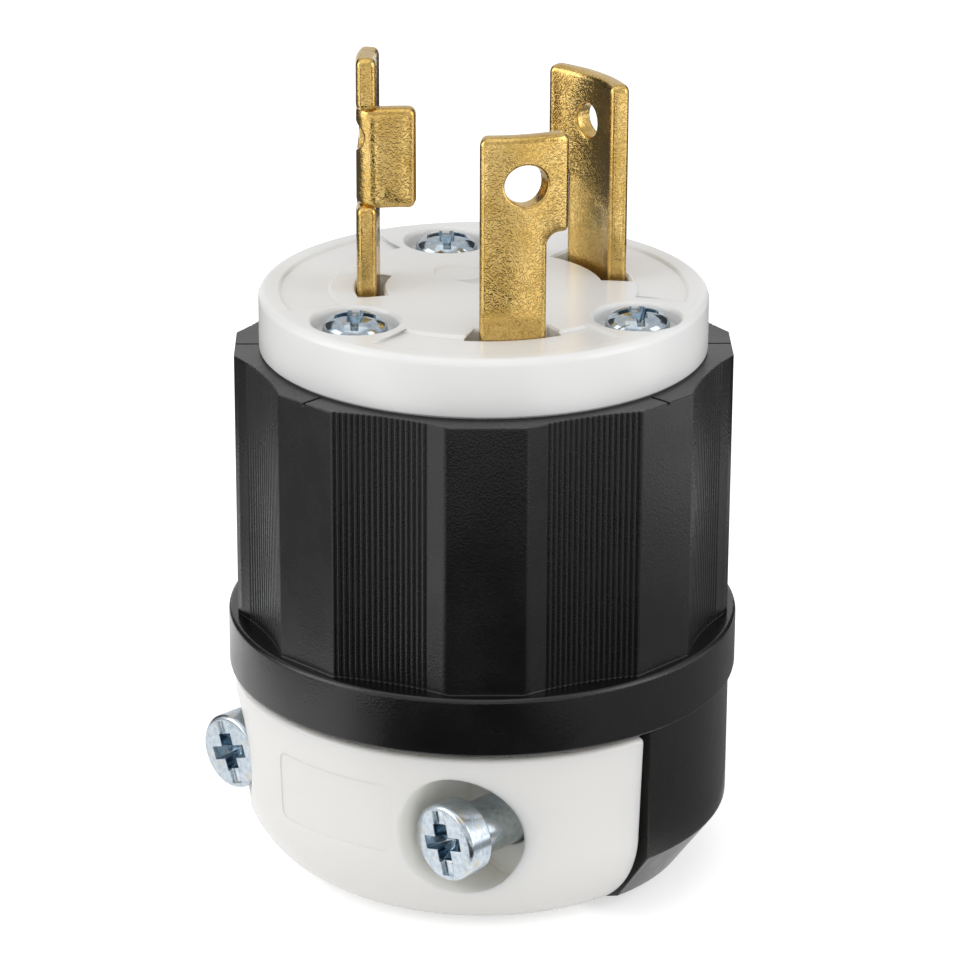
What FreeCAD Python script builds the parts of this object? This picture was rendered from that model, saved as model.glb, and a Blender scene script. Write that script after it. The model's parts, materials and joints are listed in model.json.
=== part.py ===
import FreeCAD
import Part
import math
import os
import Sketcher
from FreeCAD import Placement, Rotation, Vector

# Locking power plug with three curved blades and a two-screw cord clamp.
#
# Millimetres. The origin is on the plug's axis, in the plane that the cord end stands on.
# +Z runs along the axis towards the blades. -Y is the side of the moving clamp jaw and of the
# clamp screws' heads. X runs along the split between the two halves of the clamp.
# All angles are in degrees about +Z, counted from +X.

DRIVING_SIZES = {
    # Heights of the housing, from the base up
    "clamp_height": 20.9,
    "flange_height": 6.1,
    "grip_height": 27.0,
    "face_height": 5.9,
    # Flange and fixed half of the clamp
    "flange_radius": 25.4,
    "fixed_half_radius": 24.8,
    "fixed_base_radius": 20.9,
    "fixed_cone_height": 7.2,
    "fixed_split_offset": 2.1,
    "clamp_gap": 1.0,
    "fixed_base_lift": 1.8,
    "fixed_rest_radius": 16.0,
    # Cord channel and wiring chamber
    "cord_grip_radius": 9.4,
    "cord_rib_height": 0.9,
    "cord_rib_width": 2.2,
    "cord_rib_pitch": 6.2,
    "chamber_radius": 20.35,
    "chamber_floor": 3.5,
    # Fluted sleeve
    "ridge_radius": 24.6,
    "ridge_angle": 16.6,
    "panel_hollow": 0.59,
    "rib_pitch": 0.57,
    "rib_mouth": 0.34,
    "rib_depth": 0.2,
    "rib_margin": 0.35,
    "mark_width": 0.3,
    "mark_depth": 0.25,
    # Moving jaw
    "jaw_top_gap": 0.5,
    "jaw_radius": 24.9,
    "jaw_draft": 0.4,
    "jaw_rounding": 10.0,
    "jaw_top_chamfer": 0.35,
    "counterbore_radius": 5.65,
    "counterbore_floor": 12.0,
    "label_start_angle": 261.0,
    "label_span_angle": 32.5,
    "label_low": 9.8,
    "label_height": 7.1,
    "label_depth": 0.3,
    # Clamp screws and their inserts
    "clamp_screw_spacing": 30.2,
    "clamp_screw_height": 12.05,
    "clamp_head_face": 21.0,
    "clamp_head_radius": 3.75,
    "clamp_head_height": 3.0,
    "clamp_shank_radius": 2.7,
    "clamp_shank_length": 27.4,
    "clamp_insert_radius": 3.7,
    "clamp_insert_length": 9.0,
    "clamp_screw_travel": 6.0,
    # White face
    "face_radius": 22.0,
    "face_rim_chamfer": 0.5,
    "spigot_length": 4.0,
    "spigot_clearance": 0.2,
    "bare_panel_inner": 14.9,
    "bare_panel_outer": 20.0,
    "bare_panel_depth": 0.3,
    "bare_panel_margin_angle": 15.5,
    "badge_place_radius": 2.7,
    "badge_place_distance": 5.4,
    "badge_place_angle": 160.0,
    # Face screws: place of each one, then the common sizes
    "rear_screw_angle": 148.0,
    "rear_screw_distance": 15.6,
    "left_screw_angle": 264.5,
    "left_screw_distance": 16.1,
    "right_screw_angle": 13.0,
    "right_screw_distance": 17.2,
    "face_head_radius": 3.15,
    "face_head_height": 2.3,
    "face_head_crown": 1.7,
    "face_recess_radius": 4.15,
    "face_recess_depth": 1.6,
    "face_shank_radius": 1.75,
    "face_shank_length": 25.0,
    "face_insert_radius": 2.7,
    "face_insert_length": 8.0,
    "boss_radius": 4.9,
    "boss_height": 15.6,
    # Blades
    "blade_thickness": 1.9,
    "blade_height": 19.4,
    "blade_tip_chamfer": 0.35,
    "ground_tip_chamfer": 0.5,
    "hook_corner_rounding": 1.1,
    "line_hole_radius": 2.0,
    "neutral_hole_radius": 1.7,
    "ground_hole_radius": 1.45,
    "blade_hole_height": 14.7,
    "hook_low": 9.8,
    "line_radius": 15.6,
    "line_start_angle": 312.4,
    "line_span_angle": 24.5,
    "line_hook_angle": 8.4,
    "neutral_radius": 14.5,
    "neutral_start_angle": 57.0,
    "neutral_span_angle": 37.0,
    "neutral_hook_angle": 10.4,
    "ground_radius": 12.4,
    "ground_start_angle": 207.0,
    "ground_span_angle": 28.0,
    "ground_height": 23.35,
    "ground_hole_height": 15.3,
    "tab_low": 8.4,
    "tab_height": 9.95,
    "tab_length": 5.8,
    "tab_bend": 1.3,
    "slot_end_angle": 5.2,
    "slot_outer_clearance": 0.1,
    "slot_inner_clearance": 0.7,
    # Terminals under the face
    "block_height": 6.0,
    "block_clearance": 0.25,
    "post_radius": 2.7,
    "fin_thickness": 1.3,
    "fin_depth": 10.0,
    "fin_reach": 10.0,
    "foot_start": 5.0,
    "foot_width": 7.4,
    "terminal_distance": 8.5,
    "wire_gap": 2.4,
    "plate_size": 7.4,
    "plate_thickness": 1.5,
    "terminal_head_radius": 3.1,
    "terminal_head_height": 2.2,
    "terminal_shank_radius": 1.75,
    "terminal_shank_reach": 3.6,
    # Clearances and screw recesses
    "shank_clearance": 0.25,
    "thread_clearance": 0.05,
    "driver_depth_share": 0.5,
}

BEYOND = 4.0
RIB_COUNT = 17
ROUNDING_STEPS = 5
EDGE_SHARE = 0.13

document = FreeCAD.newDocument("locking_power_plug")
sheet = document.addObject("Spreadsheet::Sheet", "sizes")
for row, (alias, number) in enumerate(DRIVING_SIZES.items(), start=1):
    sheet.set(f"A{row}", alias)
    sheet.set(f"B{row}", str(number))
    sheet.setAlias(f"B{row}", alias)
document.recompute()


class Size:
    """A length or angle that keeps the sheet formula it comes from."""

    def __init__(self, value, formula):
        self.value = value
        self.formula = formula

    def __add__(self, other):
        other = as_size(other)
        return Size(self.value + other.value, f"({self.formula} + {other.formula})")

    def __sub__(self, other):
        other = as_size(other)
        return Size(self.value - other.value, f"({self.formula} - {other.formula})")

    def __mul__(self, other):
        other = as_size(other)
        return Size(self.value * other.value, f"({self.formula} * {other.formula})")

    def __truediv__(self, other):
        other = as_size(other)
        return Size(self.value / other.value, f"({self.formula} / {other.formula})")

    def __neg__(self):
        return as_size(0) - self


def as_size(number):
    """A plain number as a Size."""
    if isinstance(number, Size):
        return number
    return Size(float(number), str(float(number)))


def size(alias):
    """A driving size, read from the sheet."""
    return Size(float(sheet.get(alias)), f"sizes.{alias}")


def cosine(angle):
    """Cosine of an angle in degrees."""
    return Size(math.cos(math.radians(angle.value)), f"cos({angle.formula})")


def sine(angle):
    """Sine of an angle in degrees."""
    return Size(math.sin(math.radians(angle.value)), f"sin({angle.formula})")


def root(number):
    """Square root."""
    return Size(math.sqrt(number.value), f"sqrt({number.formula})")


def polar(distance, angle):
    """The point at a distance and an angle from the axis."""
    return distance * cosine(angle), distance * sine(angle)


# Heights and fits that several pieces share
BASE = as_size(0)
FLANGE_LOW = size("clamp_height")
FLANGE_TOP = FLANGE_LOW + size("flange_height")
GRIP_TOP = FLANGE_TOP + size("grip_height")
FACE_TOP = GRIP_TOP + size("face_height")
SPIGOT_LOW = GRIP_TOP - size("spigot_length")
BLOCK_LOW = SPIGOT_LOW - size("block_height")
FLOOR_TOP = FLANGE_LOW + size("chamber_floor")
BOSS_TOP = FLOOR_TOP + size("boss_height")
CHANNEL_RADIUS = size("cord_grip_radius") + size("cord_rib_height")
CLAMP_SCREW_X = size("clamp_screw_spacing") / 2
FIXED_SPLIT = -size("fixed_split_offset")
JAW_SPLIT = FIXED_SPLIT - size("clamp_gap")
DEGREES_PER_RADIAN = 180 / math.pi

FACE_SCREWS = {
    name: (size(f"{name}_screw_distance"), size(f"{name}_screw_angle"))
    for name in ("rear", "left", "right")
}
# Each blade: radius of its outer face, first angle, span of its neck, span of its hook
BLADES = {
    "line": ("line_radius", "line_start_angle", "line_span_angle", "line_hook_angle"),
    "neutral": ("neutral_radius", "neutral_start_angle", "neutral_span_angle",
                "neutral_hook_angle"),
    "ground": ("ground_radius", "ground_start_angle", "ground_span_angle", None),
}


def bind(target, path, amount):
    """Ties a property or constraint to the sheet."""
    target.setExpression(path, as_size(amount).formula)


def origin_plane(body, role):
    """The body's own origin plane of that role."""
    return next(item for item in body.Origin.OriginFeatures if item.Role == role)


def new_body(label):
    """An empty body that becomes the sub-part of that name."""
    body = document.addObject("PartDesign::Body", label)
    body.Label = label
    return body


def add_sketch(body, name, role, lift=BASE, turn=None):
    """A sketch on an origin plane, lifted along its normal or turned about Z."""
    sketch = body.newObject("Sketcher::SketchObject", name)
    sketch.AttachmentSupport = [(origin_plane(body, role), "")]
    sketch.MapMode = "FlatFace"
    upright = Vector(0, 0, 1) if role == "XY_Plane" else Vector(0, 1, 0)
    spin = Rotation(upright, turn.value if turn else 0)
    sketch.AttachmentOffset = Placement(Vector(0, 0, lift.value), spin)
    bind(sketch, "AttachmentOffset.Base.z", lift)
    if turn:
        bind(sketch, "AttachmentOffset.Rotation.Angle", turn)
    return sketch


def pin_point(sketch, geometry, point, x, y):
    """Fixes one point of the sketch at sheet-driven coordinates."""
    for kind, amount, axis in (("DistanceX", as_size(x), -2), ("DistanceY", as_size(y), -1)):
        if abs(amount.value) < 1e-9:
            sketch.addConstraint(Sketcher.Constraint("PointOnObject", geometry, point, axis))
            continue
        rule = Sketcher.Constraint(kind, -1, 1, geometry, point, amount.value)
        bind(sketch, f"Constraints[{sketch.addConstraint(rule)}]", amount)


def add_outline(sketch, corners):
    """A closed outline of straight edges through the given corners."""
    points = [(as_size(x), as_size(y)) for x, y in corners]
    first = sketch.GeometryCount
    count = len(points)
    for index, (x, y) in enumerate(points):
        next_x, next_y = points[(index + 1) % count]
        start = Vector(x.value, y.value, 0)
        sketch.addGeometry(Part.LineSegment(start, Vector(next_x.value, next_y.value, 0)), False)
    for index in range(count):
        follower = first + (index + 1) % count
        sketch.addConstraint(Sketcher.Constraint("Coincident", first + index, 2, follower, 1))
    for index, (x, y) in enumerate(points):
        pin_point(sketch, first + index, 1, x, y)


def add_circle(sketch, x, y, radius):
    """A circle with a sheet-driven centre and radius."""
    x, y, radius = as_size(x), as_size(y), as_size(radius)
    centre = Vector(x.value, y.value, 0)
    circle = sketch.addGeometry(Part.Circle(centre, Vector(0, 0, 1), radius.value), False)
    pin_point(sketch, circle, 3, x, y)
    rule = sketch.addConstraint(Sketcher.Constraint("Radius", circle, radius.value))
    bind(sketch, f"Constraints[{rule}]", radius)


def add_sector(sketch, inner, outer, start, span):
    """A ring sector about the sketch's origin."""
    ends = (start, start + span)
    arcs = []
    for radius in (inner, outer):
        whole = Part.Circle(Vector(0, 0, 0), Vector(0, 0, 1), radius.value)
        limits = [math.radians(angle.value) for angle in ends]
        arc = sketch.addGeometry(Part.ArcOfCircle(whole, *limits), False)
        sketch.addConstraint(Sketcher.Constraint("Coincident", arc, 3, -1, 1))
        rule = sketch.addConstraint(Sketcher.Constraint("Radius", arc, radius.value))
        bind(sketch, f"Constraints[{rule}]", radius)
        for point, angle in zip((1, 2), ends):
            x, y = polar(radius, angle)
            steep = abs(sine(angle).value) > 0.7
            kind, amount = ("DistanceX", x) if steep else ("DistanceY", y)
            rule = Sketcher.Constraint(kind, -1, 1, arc, point, amount.value)
            bind(sketch, f"Constraints[{sketch.addConstraint(rule)}]", amount)
        arcs.append(arc)
    for point, angle in zip((1, 2), ends):
        tips = [polar(radius, angle) for radius in (inner, outer)]
        places = [Vector(x.value, y.value, 0) for x, y in tips]
        side = sketch.addGeometry(Part.LineSegment(*places), False)
        sketch.addConstraint(Sketcher.Constraint("Coincident", side, 1, arcs[0], point))
        sketch.addConstraint(Sketcher.Constraint("Coincident", side, 2, arcs[1], point))


def add_corner_waste(sketch, x, y, radius):
    """The waste outside a rounded corner that points to +X and +Y."""
    centre_x, centre_y = x - radius, y - radius
    far_x, far_y = x + BEYOND, y + BEYOND
    middle = Vector(centre_x.value, centre_y.value, 0)
    whole = Part.Circle(middle, Vector(0, 0, 1), radius.value)
    arc = sketch.addGeometry(Part.ArcOfCircle(whole, 0, math.pi / 2), False)
    pin_point(sketch, arc, 3, centre_x, centre_y)
    rules = (("Radius", (arc,), radius), ("DistanceY", (-1, 1, arc, 1), centre_y),
             ("DistanceX", (-1, 1, arc, 2), centre_x))
    for kind, places, amount in rules:
        rule = sketch.addConstraint(Sketcher.Constraint(kind, *places, amount.value))
        bind(sketch, f"Constraints[{rule}]", amount)
    corners = [(centre_x, y), (centre_x, far_y), (far_x, far_y), (far_x, centre_y), (x, centre_y)]
    places = [Vector(across.value, up.value, 0) for across, up in corners]
    sides = [sketch.addGeometry(Part.LineSegment(*pair), False)
             for pair in zip(places, places[1:])]
    sketch.addConstraint(Sketcher.Constraint("Coincident", sides[0], 1, arc, 2))
    sketch.addConstraint(Sketcher.Constraint("Coincident", sides[-1], 2, arc, 1))
    for side, follower, corner in zip(sides, sides[1:], corners[1:]):
        sketch.addConstraint(Sketcher.Constraint("Coincident", side, 2, follower, 1))
        pin_point(sketch, side, 2, *corner)


def pad(body, name, sketch, length, reverse=False):
    """Adds a prism on the sketch."""
    feature = body.newObject("PartDesign::Pad", name)
    feature.Profile = sketch
    feature.Reversed = reverse
    bind(feature, "Length", length)
    document.recompute()
    return feature


def pocket(body, name, sketch, length, along_normal=False):
    """Cuts a prism, against the sketch's normal or along it, and checks that it cut."""
    before = body.Shape.Volume
    feature = body.newObject("PartDesign::Pocket", name)
    feature.Profile = sketch
    feature.Type = "Length"
    feature.Reversed = along_normal
    bind(feature, "Length", length)
    document.recompute()
    if body.Shape.Volume >= before:
        raise RuntimeError(f"{name} cuts nothing")
    return feature


def revolve(body, name, sketch, angle=None, kind="PartDesign::Revolution"):
    """Turns a sketch about the Z axis."""
    feature = body.newObject(kind, name)
    feature.Profile = sketch
    feature.ReferenceAxis = (sketch, ["V_Axis"])
    feature.Angle = 360
    if angle:
        bind(feature, "Angle", angle)
    document.recompute()
    return feature


def fillet(body, name, wanted, radius):
    """Rounds the edges of the body's last feature that a test picks."""
    edges = [f"Edge{n}" for n, edge in enumerate(body.Shape.Edges, start=1) if wanted(edge)]
    if not edges:
        raise RuntimeError(f"{name} finds no edge")
    before = body.Tip
    feature = body.newObject("PartDesign::Fillet", name)
    feature.Base = (before, edges)
    bind(feature, "Radius", radius)
    body.Tip = feature
    document.recompute()
    if not feature.isValid():
        raise RuntimeError(f"{name} does not build")
    return feature


def place_body(body, x=BASE, y=BASE, z=BASE, turn=None, tilt=None):
    """Moves a finished body to its place. A tilt lays it down about X before it is moved."""
    rotation = Rotation(Vector(1, 0, 0), tilt) if tilt else Rotation(Vector(0, 0, 1), 0)
    if turn:
        rotation = Rotation(Vector(0, 0, 1), turn.value)
    body.Placement = Placement(Vector(x.value, y.value, z.value), rotation)
    for letter, amount in zip("xyz", (x, y, z)):
        bind(body, f"Placement.Base.{letter}", amount)
    if turn:
        bind(body, "Placement.Rotation.Angle", turn)


def cord_rib_steps(height):
    """Inner corners of the cord channel from the top down, with ribs that grip the cord."""
    grip = size("cord_grip_radius")
    width = size("cord_rib_width")
    corners = [(CHANNEL_RADIUS, height)]
    for number in (2, 1):
        low = size("cord_rib_pitch") * number
        corners += [
            (CHANNEL_RADIUS, low + width),
            (grip, low + width),
            (grip, low),
            (CHANNEL_RADIUS, low),
        ]
    corners += [(CHANNEL_RADIUS, width), (grip, width), (grip, BASE)]
    return corners


def add_sleeve(body):
    """The sleeve before its panels are hollowed: sixteen flat sides."""
    radius = size("ridge_radius")
    half_ridge = size("ridge_angle") / 2
    outline = add_sketch(body, "sleeve_outline", "XY_Plane", FLANGE_TOP)
    corners = []
    for ridge in range(8):
        middle = as_size(45 * ridge)
        corners.append(polar(radius, middle - half_ridge))
        corners.append(polar(radius, middle + half_ridge))
    add_outline(outline, corners)
    pad(body, "sleeve", outline, size("grip_height"))
    return outline


def add_panels(body, outline):
    """Hollows the eight panels between the flat ridges and cuts the fine ribs into them."""
    height = size("grip_height")
    radius = size("ridge_radius")
    half_ridge = size("ridge_angle") / 2
    half_panel = as_size(22.5) - half_ridge
    half_chord = radius * sine(half_panel)
    hollow = size("panel_hollow")
    hollow_radius = (half_chord * half_chord + hollow * hollow) / (hollow * 2)
    centre = radius * cosine(half_panel) - hollow + hollow_radius
    middle = as_size(22.5)
    circle = add_sketch(body, "panel_circle", "XY_Plane", FLANGE_TOP)
    add_circle(circle, *polar(centre, middle), hollow_radius)
    cut = pocket(body, "panel", circle, height, along_normal=True)
    around = body.newObject("PartDesign::PolarPattern", "panels")
    around.Originals = [cut]
    around.Refine = False
    around.Axis = (outline, ["N_Axis"])
    around.Angle = 360
    around.Occurrences = 8
    body.Tip = around
    document.recompute()

    # The grooves of one panel, turned about the hollow's own centre. The arc is so flat that its
    # chord serves as its length.
    step = size("rib_pitch") / hollow_radius * DEGREES_PER_RADIAN
    first = (half_chord - size("rib_margin")) / hollow_radius * DEGREES_PER_RADIAN
    half_mouth = size("rib_mouth") / hollow_radius * DEGREES_PER_RADIAN / 2
    depth = size("rib_depth")
    grooves = add_sketch(body, "rib_grooves", "XY_Plane", FLANGE_TOP, middle + 180)
    x, y = polar(centre, middle)
    for letter, amount in (("x", x), ("y", y)):
        bind(grooves, f"AttachmentOffset.Base.{letter}", amount)
    outside = hollow_radius - depth / 2
    for number in range(RIB_COUNT):
        angle = first - step * number
        add_outline(grooves, [
            polar(outside, angle - half_mouth * 1.5),
            polar(hollow_radius + depth, angle),
            polar(outside, angle + half_mouth * 1.5),
        ])
    ribs_in_panel = pocket(body, "ribs_in_panel", grooves, height, along_normal=True)
    ribs = body.newObject("PartDesign::MultiTransform", "ribs")
    ribs.Originals = [ribs_in_panel]
    ribs.Refine = False
    mirror = body.newObject("PartDesign::Mirrored", "ribs_mirrored")
    mirror.MirrorPlane = (origin_plane(body, "XZ_Plane"), [""])
    quarter = body.newObject("PartDesign::PolarPattern", "ribs_around")
    quarter.Axis = (outline, ["N_Axis"])
    quarter.Angle = 360
    quarter.Occurrences = 4
    ribs.Transformations = [mirror, quarter]
    body.Tip = ribs
    document.recompute()


def make_grip_body():
    """The black moulding: fluted sleeve, flange and fixed half of the cord clamp."""
    body = new_body("grip_body")
    profile = add_sketch(body, "turned_profile", "XZ_Plane")
    flange = size("flange_radius")
    wall = size("fixed_half_radius")
    corners = [
        (size("fixed_rest_radius"), BASE),
        (size("fixed_base_radius"), size("fixed_base_lift")),
        (wall, size("fixed_cone_height")),
        (wall, FLANGE_LOW),
        (flange, FLANGE_LOW),
        (flange, FLANGE_TOP),
    ]
    add_outline(profile, corners + cord_rib_steps(FLANGE_TOP))
    revolve(body, "turned_form", profile)

    reach = flange + BEYOND
    side = add_sketch(body, "jaw_side", "XY_Plane")
    add_outline(side, [(-reach, -reach), (reach, -reach), (reach, FIXED_SPLIT),
                       (-reach, FIXED_SPLIT)])
    pocket(body, "room_for_jaw", side, FLANGE_LOW, along_normal=True)

    bores = add_sketch(body, "clamp_bores", "XZ_Plane", -FIXED_SPLIT)
    for x in (-CLAMP_SCREW_X, CLAMP_SCREW_X):
        add_circle(bores, x, size("clamp_screw_height"), size("clamp_insert_radius"))
    pocket(body, "clamp_insert_bores", bores, size("clamp_insert_length"))
    tips = add_sketch(body, "clamp_tips", "XZ_Plane", -FIXED_SPLIT)
    for x in (-CLAMP_SCREW_X, CLAMP_SCREW_X):
        room = size("clamp_shank_radius") + size("shank_clearance")
        add_circle(tips, x, size("clamp_screw_height"), room)
    shank_end = size("clamp_shank_length") - size("clamp_head_face") + size("clamp_head_height")
    pocket(body, "clamp_tip_bores", tips, shank_end + size("clamp_screw_travel") - FIXED_SPLIT)

    sleeve = add_sleeve(body)
    chamber = add_sketch(body, "chamber_outline", "XY_Plane", FLOOR_TOP)
    add_circle(chamber, BASE, BASE, size("chamber_radius"))
    pocket(body, "wiring_chamber", chamber, GRIP_TOP - FLOOR_TOP, along_normal=True)

    bosses = add_sketch(body, "boss_outlines", "XY_Plane", FLOOR_TOP)
    for distance, angle in FACE_SCREWS.values():
        add_circle(bosses, *polar(distance, angle), size("boss_radius"))
    pad(body, "bosses", bosses, size("boss_height"))
    seats = add_sketch(body, "insert_seats", "XY_Plane", BOSS_TOP)
    for distance, angle in FACE_SCREWS.values():
        add_circle(seats, *polar(distance, angle), size("face_insert_radius"))
    pocket(body, "face_insert_bores", seats, size("face_insert_length"))

    marks = add_sketch(body, "top_marks", "XY_Plane", GRIP_TOP)
    half_mark = size("mark_width") / 2
    for ridge in (0, 1, 5, 6):
        spin = as_size(45 * ridge)
        corners = []
        for distance, aside in ((size("face_radius"), -half_mark), (flange, -half_mark),
                                (flange, half_mark), (size("face_radius"), half_mark)):
            x, y = polar(distance, spin)
            corners.append((x - aside * sine(spin), y + aside * cosine(spin)))
        add_outline(marks, corners)
    pocket(body, "radial_marks", marks, size("mark_depth"))
    add_panels(body, sleeve)
    return body


def rounded_foot(foot_radius, lean, rounding):
    """Corners of a rounding from the base up to a wall that leans outwards."""
    wall_angle = Size(math.degrees(math.atan(lean.value)), f"atan({lean.formula}) / 1 deg")
    turn = as_size(90) - wall_angle
    middle = foot_radius + rounding * lean - rounding / cosine(wall_angle)
    corners = []
    for step in range(ROUNDING_STEPS + 1):
        angle = turn * step / ROUNDING_STEPS - 90
        corners.append((middle + rounding * cosine(angle), rounding + rounding * sine(angle)))
    return corners


def make_clamp_jaw():
    """The white half of the cord clamp, with deep counterbores for the clamp screws."""
    body = new_body("clamp_jaw")
    top = FLANGE_LOW - size("jaw_top_gap")
    low_radius = size("jaw_radius") - size("jaw_draft")
    profile = add_sketch(body, "turned_profile", "XZ_Plane")
    lean = size("jaw_draft") / top
    top_cut = size("jaw_top_chamfer")
    wall = [
        *rounded_foot(low_radius, lean, size("jaw_rounding")),
        (size("jaw_radius") - lean * top_cut, top - top_cut),
        (size("jaw_radius") - top_cut, top),
    ]
    add_outline(profile, wall + cord_rib_steps(top))
    revolve(body, "turned_form", profile)

    reach = size("jaw_radius") + BEYOND
    fixed_side = add_sketch(body, "fixed_side", "XY_Plane")
    add_outline(fixed_side, [(-reach, JAW_SPLIT), (reach, JAW_SPLIT), (reach, reach),
                             (-reach, reach)])
    pocket(body, "room_for_fixed_half", fixed_side, top, along_normal=True)

    recesses = add_sketch(body, "counterbores", "XZ_Plane", size("counterbore_floor"))
    for x in (-CLAMP_SCREW_X, CLAMP_SCREW_X):
        add_circle(recesses, x, size("clamp_screw_height"), size("counterbore_radius"))
    pocket(body, "screw_counterbores", recesses, reach, along_normal=True)
    holes = add_sketch(body, "screw_holes", "XZ_Plane", size("counterbore_floor"))
    for x in (-CLAMP_SCREW_X, CLAMP_SCREW_X):
        room = size("clamp_shank_radius") + size("shank_clearance")
        add_circle(holes, x, size("clamp_screw_height"), room)
    pocket(body, "screw_clearance_holes", holes, size("counterbore_floor"))

    low = size("label_low")
    high = low + size("label_height")
    floor = size("jaw_radius") - size("label_depth")
    label = add_sketch(body, "bare_label_place", "XZ_Plane", turn=size("label_start_angle"))
    outside = size("jaw_radius") + BEYOND
    add_outline(label, [(floor - (top - low) * lean, low), (outside, low), (outside, high),
                        (floor - (top - high) * lean, high)])
    revolve(body, "label_recess", label, size("label_span_angle"), "PartDesign::Groove")
    return body


def make_screw(label, head, neck, crown=None):
    """A screw that stands on its tip, with the underside of its head at height 0.

    head and neck are pairs of radius and length, and a crown makes the head domed. The driver
    recess is a slot across the head and a short cross bar.
    """
    domed = crown is not None
    head_radius, head_height = head
    shank_radius, shank_length = neck
    body = new_body(label)
    profile = add_sketch(body, "turned_profile", "XZ_Plane")
    crown = crown if crown else head_height * EDGE_SHARE
    head_steps = [(1, 1), (0.85, 0.36), (0.45, 0)] if domed else [(1, 1), (0.9, 0)]
    add_outline(profile, [
        (BASE, -shank_length),
        (shank_radius, -shank_length),
        (shank_radius, BASE),
        (head_radius, BASE),
        *((head_radius * across, head_height - crown * down) for across, down in head_steps),
        (BASE, head_height),
    ])
    revolve(body, "turned_form", profile)
    recess = add_sketch(body, "driver_recess", "XY_Plane", head_height)
    half_slot = head_radius * 0.15
    slot_end = head_radius * (0.72 if domed else 0.86)
    bar_end = head_radius * 0.52
    half_bar = head_radius * 0.19
    add_outline(recess, [
        (-half_slot, -slot_end), (half_slot, -slot_end), (half_slot, -half_bar),
        (bar_end, -half_bar), (bar_end, half_bar), (half_slot, half_bar),
        (half_slot, slot_end), (-half_slot, slot_end), (-half_slot, half_bar),
        (-bar_end, half_bar), (-bar_end, -half_bar), (-half_slot, -half_bar),
    ])
    pocket(body, "driver_slots", recess, head_height * size("driver_depth_share"))
    return body


def make_insert(label, radius, length, bore):
    """A brass insert from height 0 down."""
    body = new_body(label)
    profile = add_sketch(body, "turned_profile", "XZ_Plane")
    outer = radius - size("thread_clearance")
    add_outline(profile, [(bore, -length), (outer, -length), (outer, BASE), (bore, BASE)])
    revolve(body, "turned_form", profile)
    return body


def make_clamp_fasteners():
    """Both clamp screws, backed out of the jaw, and the inserts that they go into."""
    head = (size("clamp_head_radius"), size("clamp_head_height"))
    neck = (size("clamp_shank_radius"), size("clamp_shank_length"))
    underside = size("clamp_head_height") - size("clamp_head_face")
    bore = size("clamp_shank_radius") + size("thread_clearance")
    made = []
    for side, x in (("left", -CLAMP_SCREW_X), ("right", CLAMP_SCREW_X)):
        screw = make_screw(f"clamp_screw_{side}", head, neck)
        place_body(screw, x, underside, size("clamp_screw_height"), tilt=90)
        insert = make_insert(f"clamp_insert_{side}", size("clamp_insert_radius"),
                             size("clamp_insert_length"), bore)
        place_body(insert, x, FIXED_SPLIT, size("clamp_screw_height"), tilt=90)
        made += [screw, insert]
    return made


def make_face_fasteners():
    """The three face screws and the inserts in the bosses below them."""
    head = (size("face_head_radius"), size("face_head_height"))
    neck = (size("face_shank_radius"), size("face_shank_length"))
    bore = size("face_shank_radius") + size("thread_clearance")
    made = []
    for name, place in FACE_SCREWS.items():
        x, y = polar(*place)
        screw = make_screw(f"face_screw_{name}", head, neck, size("face_head_crown"))
        place_body(screw, x, y, FACE_TOP - size("face_recess_depth"))
        insert = make_insert(f"face_insert_{name}", size("face_insert_radius"),
                             size("face_insert_length"), bore)
        place_body(insert, x, y, BOSS_TOP)
        made += [screw, insert]
    return made


def slot_limits(name):
    """Inner radius, outer radius, first angle and span of the slot that a blade needs."""
    radius, start, span = (size(alias) for alias in BLADES[name][:3])
    outer = radius + size("slot_outer_clearance")
    inner = radius - size("blade_thickness") - size("slot_inner_clearance")
    margin = size("slot_end_angle")
    return inner, outer, start - margin, span + margin * 2


def make_face_disc():
    """The white face with its blade slots, screw recesses and shallow bare panels."""
    body = new_body("face_disc")
    spigot = size("chamber_radius") - size("spigot_clearance")
    rim = size("face_radius")
    profile = add_sketch(body, "turned_profile", "XZ_Plane")
    cut = size("face_rim_chamfer")
    add_outline(profile, [(BASE, SPIGOT_LOW), (spigot, SPIGOT_LOW), (spigot, GRIP_TOP),
                          (rim, GRIP_TOP), (rim, FACE_TOP - cut), (rim - cut, FACE_TOP),
                          (BASE, FACE_TOP)])
    revolve(body, "turned_form", profile)

    bare = add_sketch(body, "bare_panels", "XY_Plane", FACE_TOP)
    margin = size("bare_panel_margin_angle")
    order = ("right", "rear", "left", "right")
    for first, second in zip(order, order[1:]):
        start = FACE_SCREWS[first][1] + margin
        end = FACE_SCREWS[second][1] - margin
        if first == "left":
            end = end + 360
        add_sector(bare, size("bare_panel_inner"), size("bare_panel_outer"), start, end - start)
    pocket(body, "panel_recesses", bare, size("bare_panel_depth"))
    badge = add_sketch(body, "badge_place", "XY_Plane", FACE_TOP)
    place = polar(size("badge_place_distance"), size("badge_place_angle"))
    add_circle(badge, *place, size("badge_place_radius"))
    pocket(body, "badge_recess", badge, size("bare_panel_depth"))

    recesses = add_sketch(body, "screw_recesses", "XY_Plane", FACE_TOP)
    holes = add_sketch(body, "screw_holes", "XY_Plane", FACE_TOP)
    for place in FACE_SCREWS.values():
        add_circle(recesses, *polar(*place), size("face_recess_radius"))
        room = size("face_shank_radius") + size("shank_clearance")
        add_circle(holes, *polar(*place), room)
    pocket(body, "head_recesses", recesses, size("face_recess_depth"))
    pocket(body, "shank_holes", holes, FACE_TOP - SPIGOT_LOW)

    slots = add_sketch(body, "blade_slots", "XY_Plane", FACE_TOP)
    for name in BLADES:
        add_sector(slots, *slot_limits(name))
    pocket(body, "slots", slots, FACE_TOP - SPIGOT_LOW)
    return body


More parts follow.
